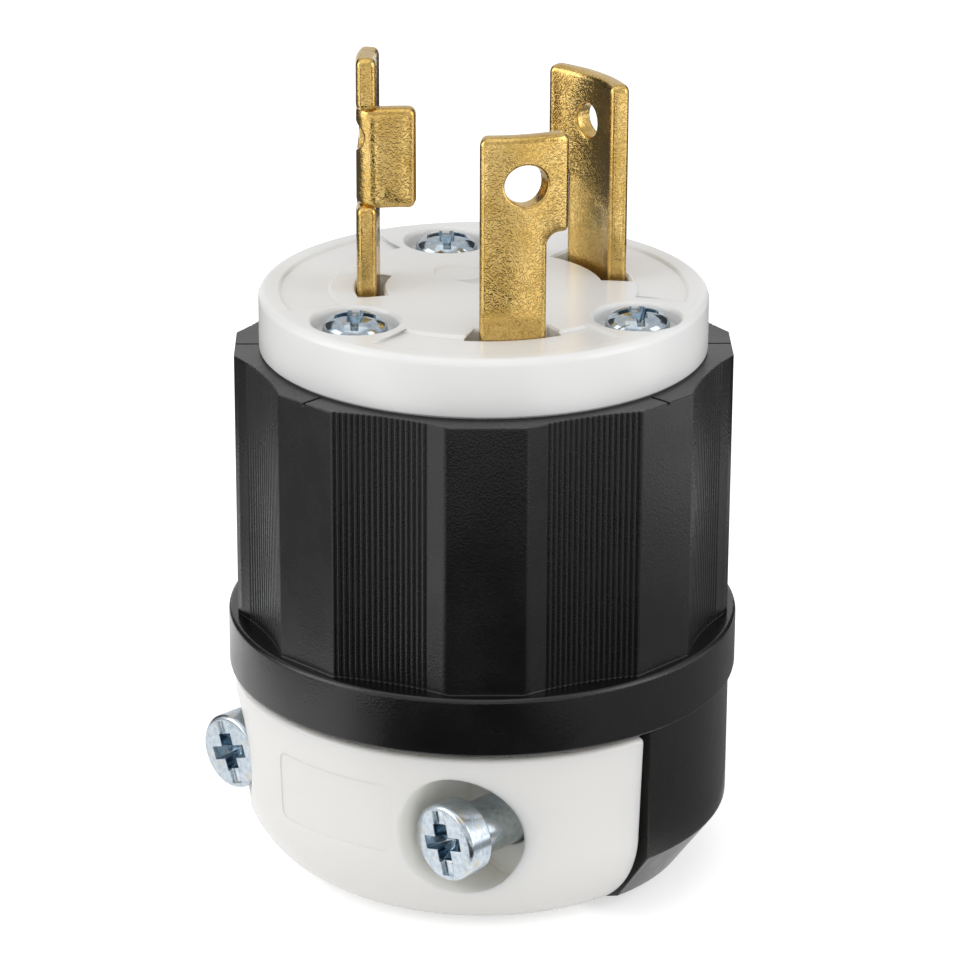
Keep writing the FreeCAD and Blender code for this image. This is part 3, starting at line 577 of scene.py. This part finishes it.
def rounded_outline(corners, step=CORNER_STEP):
    """Points round a closed outline of (x, y, radius) corners, in millimetres."""
    points = []
    count = len(corners)
    for number, (x, y, radius) in enumerate(corners):
        here = Vector((x, y))
        before = (Vector(corners[number - 1][:2]) - here).normalized()
        after = (Vector(corners[(number + 1) % count][:2]) - here).normalized()
        if radius <= 0:
            points.append(here)
            continue
        half = before.angle(after) / 2
        reach = radius / math.tan(half)
        middle = here + (before + after).normalized() * (radius / math.sin(half))
        first = here + before * reach - middle
        sweep = first.angle_signed(here + after * reach - middle)
        steps = max(3, round(abs(sweep) * radius / step))
        for place in range(steps + 1):
            turned = first.copy()
            turned.rotate(Matrix.Rotation(-sweep * place / steps, 2))
            points.append(middle + turned)
    return points


def inset_points(points, amount):
    """Moves each point of a closed outline inwards, along the bisector of its sides."""
    moved = []
    count = len(points)
    for number, point in enumerate(points):
        before = point - points[number - 1]
        after = points[(number + 1) % count] - point
        before = Vector((-before.y, before.x)).normalized()
        after = Vector((-after.y, after.x)).normalized()
        inward = (before + after).normalized()
        moved.append(point + inward * amount / max(0.5, inward.dot(before)))
    return moved


def circle_points(x, y, radius, steps=40):
    """Points round a hole, clockwise, so that insets widen it."""
    return [Vector((x + radius * math.cos(a), y + radius * math.sin(a)))
            for a in (-math.tau * step / steps for step in range(steps))]


def sheet_mesh(outline, holes, rounding, hole_rounding, thickness, bend, steps=5, cut=0.45):
    """A bent sheet with rounded edges.

    outline and holes are loops in the flat sheet, outline anticlockwise, and bend takes a
    point of the flat sheet and a distance from its middle layer to a place in millimetres.
    """
    work = bmesh.new()
    half = thickness / 2
    caps = {-1: [], 1: []}
    for loop, radius in [(outline, rounding)] + [(hole, hole_rounding) for hole in holes]:
        rings = []
        for side in (-1, 1):
            order = range(steps + 1) if side < 0 else range(steps, -1, -1)
            for step in order:
                a = math.pi / 2 * step / steps
                depth = side * (half - radius + radius * math.cos(a))
                inset = radius * (1 - math.sin(a))
                rings.append([work.verts.new((p.x, p.y, depth))
                              for p in inset_points(loop, inset)])
        for low, high in zip(rings, rings[1:]):
            for corner in range(len(loop)):
                after = (corner + 1) % len(loop)
                work.faces.new([low[corner], low[after], high[after], high[corner]])
        for side, ring in ((-1, rings[0]), (1, rings[-1])):
            caps[side] += [work.edges.get((ring[i - 1], ring[i])) for i in range(len(ring))]
    for side in caps:
        bmesh.ops.triangle_fill(work, edges=caps[side], use_beauty=True)
    low = min(point.x for point in outline)
    high = max(point.x for point in outline)
    cuts = int((high - low) / cut)
    for number in range(1, cuts):
        geometry = list(work.verts) + list(work.edges) + list(work.faces)
        bmesh.ops.bisect_plane(work, geom=geometry, plane_no=(1, 0, 0), dist=1e-4,
                               plane_co=(low + (high - low) * number / cuts, 0, 0))
    for vert in work.verts:
        vert.co = bend(vert.co.x, vert.co.y, vert.co.z) * MM
    bmesh.ops.remove_doubles(work, verts=work.verts, dist=0.0005 * MM)
    bmesh.ops.recalc_face_normals(work, faces=work.faces)
    return work


def on_arc(radius, start):
    """Bends a flat sheet round the plug's axis, from an angle on."""
    def bend(along, height, out):
        turn = math.radians(start) + along / radius
        reach = radius + out
        return Vector((reach * math.cos(turn), reach * math.sin(turn), height))
    return bend


def add_lower_part(work, node, height):
    """Joins the part of a node below a height to a bmesh."""
    below = bmesh.new()
    below.from_mesh(nodes[node].data)
    bmesh.ops.remove_doubles(below, verts=below.verts, dist=WELD * MM)
    geometry = list(below.verts) + list(below.edges) + list(below.faces)
    bmesh.ops.bisect_plane(below, geom=geometry, plane_no=(0, 0, 1), clear_outer=True,
                           plane_co=(0, 0, height * MM))
    bmesh.ops.holes_fill(below, edges=[edge for edge in below.edges if edge.is_boundary])
    spare = bpy.data.meshes.new("spare")
    below.to_mesh(spare)
    below.free()
    work.from_mesh(spare)
    bpy.data.meshes.remove(spare)


def finish_sheet(node, works):
    """Makes one piece of a blade's upper sheets and the node's own lower part."""
    whole = bmesh.new()
    for work in works:
        spare = bpy.data.meshes.new("spare")
        work.to_mesh(spare)
        work.free()
        whole.from_mesh(spare)
        bpy.data.meshes.remove(spare)
    add_lower_part(whole, node, SHEET_LOW + BLADE_CUT_OVERLAP)
    mesh = bpy.data.meshes.new(f"{node}_finish")
    whole.to_mesh(mesh)
    whole.free()
    smooth_faces(new_piece(f"{node}_finish", mesh, node), 40.0)


def make_current_blade(name):
    """A curved blade with a hook at one side, whose edges are rolled over."""
    radius, start, span = BLADE_ARCS[name]
    hook, hole_radius = HOOKS[name]
    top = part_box(f"{name}_blade")[1][2] / MM
    middle = radius - BLADE_THICKNESS / 2
    neck = middle * math.radians(span)
    reach = middle * math.radians(span + hook)
    hook_low = FACE_TOP + HOOK_ABOVE_FACE
    outline = rounded_outline([
        (0, SHEET_LOW, 0), (neck, SHEET_LOW, 0), (neck, hook_low, 1.2), (reach, hook_low, 0.5),
        (reach, top, 0.75), (0, top, 0.75),
    ])
    hole = circle_points(reach / 2, FACE_TOP + HOLE_ABOVE_FACE, hole_radius)
    finish_sheet(f"{name}_blade", [sheet_mesh(outline, [hole], BLADE_ROLL, BLADE_HOLE_ROLL,
                                              BLADE_THICKNESS, on_arc(middle, start))])


def make_ground_blade():
    """The long blade: a curved strip whose middle is folded in at one side into a tab."""
    radius, start, span = BLADE_ARCS["ground"]
    fold, bow = TAB_FOLD, TAB_BOW
    low, high = FACE_TOP + TAB_LOW, FACE_TOP + TAB_HIGH
    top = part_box("ground_blade")[1][2] / MM
    middle = radius - BLADE_THICKNESS / 2
    width = middle * math.radians(span)
    end = math.radians(start + span)
    early = math.asin((fold + BLADE_THICKNESS / 2) / (middle - fold))
    turn = end - early
    fold_start = middle * (turn - math.radians(start))
    fold_end = fold_start + fold * (math.pi / 2 + early)
    sheet_end = fold_end + TAB_LENGTH - (radius - (middle - fold) * math.cos(early))

    def point(x, y, reach, angle, height):
        """A place at a reach and angle from an upright line through x and y."""
        return Vector((x + reach * math.cos(angle), y + reach * math.sin(angle), height))

    centre = point(0, 0, middle - fold, turn, 0)
    bow_centre = point(centre.x, centre.y, fold + bow, end + math.pi / 2, 0)

    def folded(along, height, out):
        """The strip's arc, then the fold, then the tab, which bows a little."""
        if along < fold_start:
            return point(0, 0, middle + out, math.radians(start) + along / middle, height)
        if along < fold_end:
            return point(centre.x, centre.y, fold + out, turn + (along - fold_start) / fold, height)
        angle = end - math.pi / 2 - (along - fold_end) / bow
        return point(bow_centre.x, bow_centre.y, bow - out, angle, height)

    # The strips reach into the folded band, and further where it isn't folded
    inner, near, far = fold_start - 0.2, 0.2, 1.3
    lower = rounded_outline([
        (0, SHEET_LOW, 0), (width, SHEET_LOW, 0), (width, low + near, 0.7),
        (inner, low + near, 0), (inner, low + far, 0), (0, low + far, 0),
    ])
    upper = rounded_outline([
        (0, high - far, 0), (inner, high - far, 0), (inner, high - near, 0),
        (width, high - near, 0.7), (width, top, 0.8), (0, top, 0.8),
    ])
    band = rounded_outline([(0, low, 0.7), (sheet_end, low, 0.7), (sheet_end, high, 0.7),
                            (0, high, 0.7)])
    hole = circle_points(width / 2, FACE_TOP + GROUND_HOLE_ABOVE_FACE, GROUND_HOLE_RADIUS)
    curve = on_arc(middle, start)
    rolls = (GROUND_ROLL, GROUND_HOLE_ROLL)
    finish_sheet("ground_blade", [
        sheet_mesh(lower, [], *rolls, BLADE_THICKNESS, curve),
        sheet_mesh(upper, [], *rolls, BLADE_THICKNESS, curve),
        sheet_mesh(band, [hole], *rolls, BLADE_THICKNESS - BAND_THINNER, folded, cut=0.2),
    ])


# The face

DISC_RADIUS = 22.0
DISC_EDGE = 0.75
SPIGOT_RADIUS = 20.15
GRIP_TOP = 54.0

# Each face screw's distance from the plug's axis and its angle
SCREW_PLACES = {"right": (17.2, 13.0), "rear": (15.6, 148.0), "left": (16.1, 264.5)}
SCREW_ORDER = ("right", "rear", "left", "right")
SCREW_HOLE = 2.0
RECESS_RADIUS = 4.15
RECESS_DEPTH = 1.6
RECESS_CORNER = 0.25
RECESS_LIP = 0.45

# The bare panels between the screws, and the bare round recess
PANEL_INNER, PANEL_OUTER = 15.2, 19.8
PANEL_FROM_SCREW = 18.6
PANEL_DEPTH = 0.28
BADGE_DISTANCE = 5.4
BADGE_ANGLE = 160.0
BADGE_RADIUS = 2.85
BADGE_DEPTH = 0.25

# Room round a blade in its slot
SLOT_INSIDE = 0.7
SLOT_OUTSIDE = 0.1
SLOT_ENDS = 5.2
SLOT_LIP = 0.2


def sector_points(inner, outer, start, span, spread=0.0):
    """Points round a sector of a ring, spread outwards by a distance, in millimetres."""
    inner, outer = inner - spread, outer + spread
    turn = math.degrees(spread / ((inner + outer) / 2))
    start, span = start - turn, span + 2 * turn
    steps = max(4, round(span / 2))
    angles = [math.radians(start + span * step / steps) for step in range(steps + 1)]
    points = [(outer * math.cos(a), outer * math.sin(a)) for a in angles]
    return points + [(inner * math.cos(a), inner * math.sin(a)) for a in reversed(angles)]


def arc_profile(middle_radius, middle_height, rounding, first, last, steps=6):
    """Points of a rounding in a turned profile, between two angles in degrees."""
    angles = [math.radians(first + (last - first) * step / steps) for step in range(steps + 1)]
    return [(middle_radius + rounding * math.cos(a), middle_height + rounding * math.sin(a))
            for a in angles]


def shifted(work, distance, angle):
    """Moves a bmesh out from the plug's axis, in millimetres and degrees."""
    a = math.radians(angle)
    place = (distance * math.cos(a) * MM, distance * math.sin(a) * MM, 0)
    bmesh.ops.translate(work, vec=place, verts=work.verts)
    return work


def panel_cutter(top, start, span):
    """Cuts a shallow panel whose lips are soft."""
    layers = ((-PANEL_DEPTH, 0.0), (-0.1, 0.12), (0.05, 0.35), (1, 0.35))
    return to_object("panel_cut", stacked_outlines([
        (top + height, sector_points(PANEL_INNER, PANEL_OUTER, start, span, spread))
        for height, spread in layers
    ]))


def badge_cutter(top):
    """Cuts the shallow round recess."""
    floor, rim = top - BADGE_DEPTH, BADGE_RADIUS
    badge = spin_profile([(0, floor), (rim - 0.4, floor), (rim - 0.25, top - 0.1),
                          (rim, top + 0.05), (rim, top + 1), (0, top + 1)], 48)
    return to_object("badge_cut", shifted(badge, BADGE_DISTANCE, BADGE_ANGLE))


def recess_cutter(low, top, distance, angle):
    """Cuts a face screw's hole and the recess round its head."""
    floor, wall = top - RECESS_DEPTH, RECESS_RADIUS
    recess = [(0, low - 1), (SCREW_HOLE, low - 1), (SCREW_HOLE, floor),
              (wall - RECESS_CORNER, floor), (wall, floor + RECESS_CORNER), (wall, top - 0.5),
              (wall + 0.07, top - 0.25), (wall + 0.23, top - 0.08),
              (wall + RECESS_LIP, top + 0.02), (wall + RECESS_LIP, top + 1), (0, top + 1)]
    return to_object("recess_cut", shifted(spin_profile(recess, 56), distance, angle))


def slot_cutter(low, top, radius, start, span):
    """Cuts a blade's slot through the face."""
    inner, outer = radius - BLADE_THICKNESS - SLOT_INSIDE, radius + SLOT_OUTSIDE
    start, span = start - SLOT_ENDS, span + 2 * SLOT_ENDS
    cutter = to_object("slot_cut", stacked_outlines([
        (low - 1, sector_points(inner, outer, start, span)),
        (top - 0.25, sector_points(inner, outer, start, span)),
        (top + 0.02, sector_points(inner, outer, start, span, SLOT_LIP)),
        (top + 1, sector_points(inner, outer, start, span, SLOT_LIP)),
    ]))
    # The slot's walls carry the lighter bore white, painted light.
    cutter.data.materials.append(BORE_LIT_WHITE)
    return cutter


def make_disc():
    """The face, with soft lips at its rim, recesses and slots."""
    low, top = (corner[2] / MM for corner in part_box("face_disc"))
    profile = [(0, low), (SPIGOT_RADIUS - 0.3, low), (SPIGOT_RADIUS, low + 0.3),
               (SPIGOT_RADIUS, GRIP_TOP), (DISC_RADIUS - 0.25, GRIP_TOP),
               (DISC_RADIUS, GRIP_TOP + 0.25)]
    profile += arc_profile(DISC_RADIUS - DISC_EDGE, top - DISC_EDGE, DISC_EDGE, 0, 90)
    blank = to_object("disc_blank", spin_profile(profile + [(0, top)], 144))

    cutters = []
    for first, second in zip(SCREW_ORDER, SCREW_ORDER[1:]):
        start = SCREW_PLACES[first][1] + PANEL_FROM_SCREW
        end = SCREW_PLACES[second][1] - PANEL_FROM_SCREW + (360 if first == "left" else 0)
        cutters.append(panel_cutter(top, start, end - start))
    cutters.append(badge_cutter(top))
    for distance, angle in SCREW_PLACES.values():
        cutters.append(recess_cutter(low, top, distance, angle))
    for radius, start, span in BLADE_ARCS.values():
        cutters.append(slot_cutter(low, top, radius, start, span))
    mesh = cut_away(blank, cutters)
    mesh.name = "face_disc_finish"
    smooth_faces(new_piece("face_disc_finish", mesh, "face_disc"), 32.0)


# The jaw and the black moulding

JAW_RADIUS = 24.9
JAW_DRAFT = 0.4
JAW_WALL = JAW_RADIUS - JAW_DRAFT
JAW_FOOT = 10.0
JAW_EDGE = 0.5
CHANNEL_RADIUS = 10.3
CORD_RIB = 0.9
CORD_RIB_PITCH = 6.2
CLAMP_HOLE = 2.95
COUNTERBORE_RADIUS = 5.6
COUNTERBORE_FLOOR = 12.0
COUNTERBORE_WIDE = 0.84
COUNTERBORE_HIGH = 1.13

# The bare place for a label on the jaw's wall
LABEL_START, LABEL_SPAN = 261.0, 32.5
LABEL_LOW, LABEL_HIGH = 9.8, 16.9
LABEL_SUNK = 0.1
LABEL_CUTTER = 3.0

FLANGE_LOW, FLANGE_TOP = 20.9, 27.0
FLANGE_INSIDE = 24.9
FLANGE_ROUNDING = 0.45


def jaw_profile(top):
    """The closed profile of the jaw's ring: foot, drafted wall, channel and cord ribs."""
    profile = arc_profile(JAW_WALL - JAW_FOOT, JAW_FOOT, JAW_FOOT, -90, 0, 20)
    profile += arc_profile(JAW_RADIUS - JAW_EDGE, top - JAW_EDGE, JAW_EDGE, 0, 90, 4)
    profile += [(CHANNEL_RADIUS, top)]
    crest = CHANNEL_RADIUS - CORD_RIB
    for number in (2, 1):
        low = CORD_RIB_PITCH * number
        profile += [(CHANNEL_RADIUS, low + 2.2), (crest, low + 2.1), (crest, low + 0.1),
                    (CHANNEL_RADIUS, low)]
    return profile + [(CHANNEL_RADIUS, 2.2), (crest, 2.1), (crest, 0)]


def bore_cutter(name, split, far):
    """Cuts a clamp screw's hole and the oval counterbore round its head."""
    middle = middle_of(f"clamp_screw_{name}")
    hole, wall, floor = CLAMP_HOLE, COUNTERBORE_RADIUS, COUNTERBORE_FLOOR
    bore = spin_profile([(0, 1 - split), (hole, 1 - split), (hole, floor), (wall - 0.3, floor),
                         (wall, floor + 0.3), (wall, far), (0, far)], 64)
    for vert in bore.verts:
        if math.hypot(vert.co.x, vert.co.y) > (hole + 1) * MM:
            vert.co.x *= COUNTERBORE_WIDE
            vert.co.y *= COUNTERBORE_HIGH
    upright = Matrix.Rotation(math.pi / 2, 4, "X")
    place = Matrix.Translation((middle.x, 0, middle.z)) @ upright
    bmesh.ops.transform(bore, matrix=place, verts=bore.verts)
    cutter = to_object("bore_cut", bore)
    # The counterbore's walls carry the lighter bore white, painted light.
    cutter.data.materials.append(BORE_LIT_WHITE)
    return cutter


def label_cutter(top):
    """Cuts the bare place for a label, of one depth all over the drafted wall."""
    def on_wall(along, height, out):
        at_height = JAW_WALL + JAW_DRAFT * (height - JAW_FOOT) / (top - JAW_FOOT)
        turn = math.radians(LABEL_START) + along / JAW_WALL
        reach = at_height - LABEL_SUNK + LABEL_CUTTER / 2 + out
        return Vector((reach * math.cos(turn), reach * math.sin(turn), height))

    wide = JAW_WALL * math.radians(LABEL_SPAN)
    outline = rounded_outline([(0, LABEL_LOW, 1.0), (wide, LABEL_LOW, 1.0), (wide, LABEL_HIGH, 1.0),
                               (0, LABEL_HIGH, 1.0)])
    label = sheet_mesh(outline, [], 0.02, 0.1, LABEL_CUTTER, on_wall, steps=2)
    return to_object("label_cut", label)


def make_jaw():
    """The white jaw, with a round foot, soft lips and a shallow bare place for a label."""
    split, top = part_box("clamp_jaw")[1][1] / MM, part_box("clamp_jaw")[1][2] / MM
    blank = to_object("jaw_blank", spin_profile(jaw_profile(top), 144, ring=True))
    far = JAW_RADIUS + 5
    beyond = [(-far, split), (far, split), (far, far), (-far, far)]
    cutters = [to_object("rest_cut", stacked_outlines([(-1, beyond), (top + 1, beyond)]))]
    cutters += [bore_cutter(name, split, far) for name in CLAMP_TILTS]
    cutters.append(label_cutter(top))
    for part in (blank, *cutters):
        if not part.data.materials:
            part.data.materials.append(JAW_WHITE)
    mesh = cut_away(blank, cutters)
    mesh.name = "clamp_jaw_finish"
    smooth_faces(new_piece("clamp_jaw_finish", mesh, "clamp_jaw", "jaw", dressed=True), 32.0)


def at_flange(middle):
    """Whether a place in millimetres is on one of the flange's outer edges."""
    off_edge = min(abs(middle.z - FLANGE_LOW), abs(middle.z - FLANGE_TOP))
    return math.hypot(middle.x, middle.y) > FLANGE_INSIDE and off_edge < 0.1


make_face_screws()
make_clamp_screws()
make_current_blade("line")
make_current_blade("neutral")
make_ground_blade()
make_disc()
make_jaw()
finish_copy("grip_body", FLANGE_ROUNDING, at_flange)

for node_name, node_object in nodes.items():
    node_object.data.materials.clear()
    node_object.data.materials.append(BY_SLOT[SLOT_OF[node_name]])


# Floor and light

FLOOR_LIFT = 0.55
AMBIENT = 0.77
CARD_LIFT = 0.0005


def plane_object(name, size_x, size_y):
    """A flat stage piece about its own origin."""
    mesh = bpy.data.meshes.new(name)
    x, y = size_x / 2, size_y / 2
    mesh.from_pydata([(-x, -y, 0), (x, -y, 0), (x, y, 0), (-x, y, 0)], [], [(0, 1, 2, 3)])
    obj = bpy.data.objects.new(name, mesh)
    scene.collection.objects.link(obj)
    return obj


def seen_directly(tree):
    """1 for rays from the camera and for those from shiny and clear surfaces, else 0."""
    path = tree.nodes.new("ShaderNodeLightPath")
    seen = path.outputs["Is Camera Ray"]
    for name in ("Is Glossy Ray", "Is Transmission Ray"):
        largest = tree.nodes.new("ShaderNodeMath")
        largest.operation = "MAXIMUM"
        tree.links.new(seen, largest.inputs[0])
        tree.links.new(path.outputs[name], largest.inputs[1])
        seen = largest.outputs[0]
    return seen


def make_floor():
    """A white floor that keeps the object's shadow, lifted where it is seen directly."""
    floor = plane_object("floor", 12, 12)
    material = bpy.data.materials.new("floor_white")
    material.use_nodes = True
    tree = material.node_tree
    tree.nodes.clear()
    output = tree.nodes.new("ShaderNodeOutputMaterial")
    add = tree.nodes.new("ShaderNodeAddShader")
    diffuse = tree.nodes.new("ShaderNodeBsdfDiffuse")
    diffuse.inputs["Color"].default_value = grey(0.8)
    lift = tree.nodes.new("ShaderNodeEmission")
    strength = tree.nodes.new("ShaderNodeMath")
    strength.operation = "MULTIPLY"
    strength.inputs[1].default_value = FLOOR_LIFT
    tree.links.new(seen_directly(tree), strength.inputs[0])
    tree.links.new(strength.outputs[0], lift.inputs["Strength"])
    tree.links.new(diffuse.outputs[0], add.inputs[0])
    tree.links.new(lift.outputs[0], add.inputs[1])
    tree.links.new(add.outputs[0], output.inputs[0])
    floor.data.materials.append(material)


def make_card(name, azimuth, elevation, distance, size_x, size_y, shade):
    """A plain card beside the camera's view, seen only in reflections."""
    card = plane_object(name, size_x, size_y)
    card.location = around(azimuth, elevation, distance)
    look_at(card, (0, 0, TARGET_HEIGHT))
    dress_card(card, name, shade)


def make_floor_card(name, azimuth, distance, size_x, size_y, shade):
    """A plain card that lies on the floor, seen only in reflections."""
    card = plane_object(name, size_x, size_y)
    out = math.radians(azimuth)
    card.location = (math.sin(out) * distance, -math.cos(out) * distance, CARD_LIFT)
    card.rotation_euler = (0, 0, out)
    dress_card(card, name, shade)


def dress_card(card, name, shade):
    """Gives a card its shade and hides it from all but reflections."""
    material = bpy.data.materials.new(name)
    material.use_nodes = True
    principled = material.node_tree.nodes["Principled BSDF"]
    principled.inputs["Base Color"].default_value = grey(shade)
    principled.inputs["Roughness"].default_value = 0.9
    card.data.materials.append(material)
    card.visible_camera = False
    card.visible_shadow = False
    card.visible_diffuse = False


def make_lamp(name, azimuth, elevation, distance, size_x, size_y, power, mirrored):
    """A soft box that looks at the object. It shows in reflections where it is mirrored."""
    data = bpy.data.lights.new(name, "AREA")
    data.shape = "RECTANGLE"
    data.size, data.size_y = size_x, size_y
    data.energy = power
    lamp = bpy.data.objects.new(name, data)
    scene.collection.objects.link(lamp)
    lamp.location = around(azimuth, elevation, distance)
    look_at(lamp, (0, 0, TARGET_HEIGHT))
    lamp.visible_camera = False
    lamp.visible_glossy = mirrored


def make_world():
    """White to the camera, and in metal and glass, and dimmer as a light."""
    world = bpy.data.worlds.new("studio")
    scene.world = world
    world.use_nodes = True
    tree = world.node_tree
    tree.nodes.clear()
    output = tree.nodes.new("ShaderNodeOutputWorld")
    background = tree.nodes.new("ShaderNodeBackground")
    level = tree.nodes.new("ShaderNodeMapRange")
    level.inputs["To Min"].default_value = AMBIENT
    level.inputs["To Max"].default_value = 1.0
    tree.links.new(seen_directly(tree), level.inputs["Value"])
    tree.links.new(level.outputs[0], background.inputs["Strength"])
    tree.links.new(background.outputs[0], output.inputs[0])


# Turn from the camera, elevation, distance, width, height, watts, and whether it is mirrored
LAMPS = {
    "key_left": (-75, 18, 0.55, 0.35, 0.55, 1.2, True),
    "fill_right": (70, 18, 0.55, 0.30, 0.55, 0.95, True),
    "top": (-20, 78, 0.55, 0.5, 0.5, 0.45, True),
    "front": (8, 42, 0.75, 0.3, 0.3, 0.3, False),
    "low_front": (20, 10, 0.7, 0.25, 0.25, 0.35, False),
}

# Turn from the camera, distance, width, length and shade of the cards on the floor
FLOOR_CARDS = {
    "dark_floor": (0, 0.120, 0.125, 0.155, 0.005),
    "blade_floor_front": (14, 0.29, 0.13, 0.15, 0.75),
    "floor_right": (58, 0.15, 0.13, 0.17, 0.4),
    "blade_floor": (-30, 0.25, 0.10, 0.16, 0.05),
    "near_floor_right": (95, 0.075, 0.14, 0.09, 0.3),
    "near_floor_left": (-90, 0.14, 0.12, 0.12, 0.3),
    "dark_floor_left": (-128, 0.30, 0.34, 0.34, 0.10),
    "dark_floor_right": (138, 0.30, 0.30, 0.34, 0.05),
}

# Turn from the camera, elevation, distance, width, height and shade of the standing cards
CARDS = {
    "dark_left": (-128, 8, 0.46, 0.34, 0.50, 0.08),
    "dark_right": (138, 8, 0.46, 0.30, 0.50, 0.05),
}

make_floor()
make_world()
for lamp_name, (turn, *settings) in LAMPS.items():
    make_lamp(lamp_name, CAMERA_AZIMUTH + turn, *settings)
for card_name, (turn, *settings) in FLOOR_CARDS.items():
    make_floor_card(card_name, CAMERA_AZIMUTH + turn, *settings)
for card_name, (turn, *settings) in CARDS.items():
    make_card(card_name, CAMERA_AZIMUTH + turn, *settings)
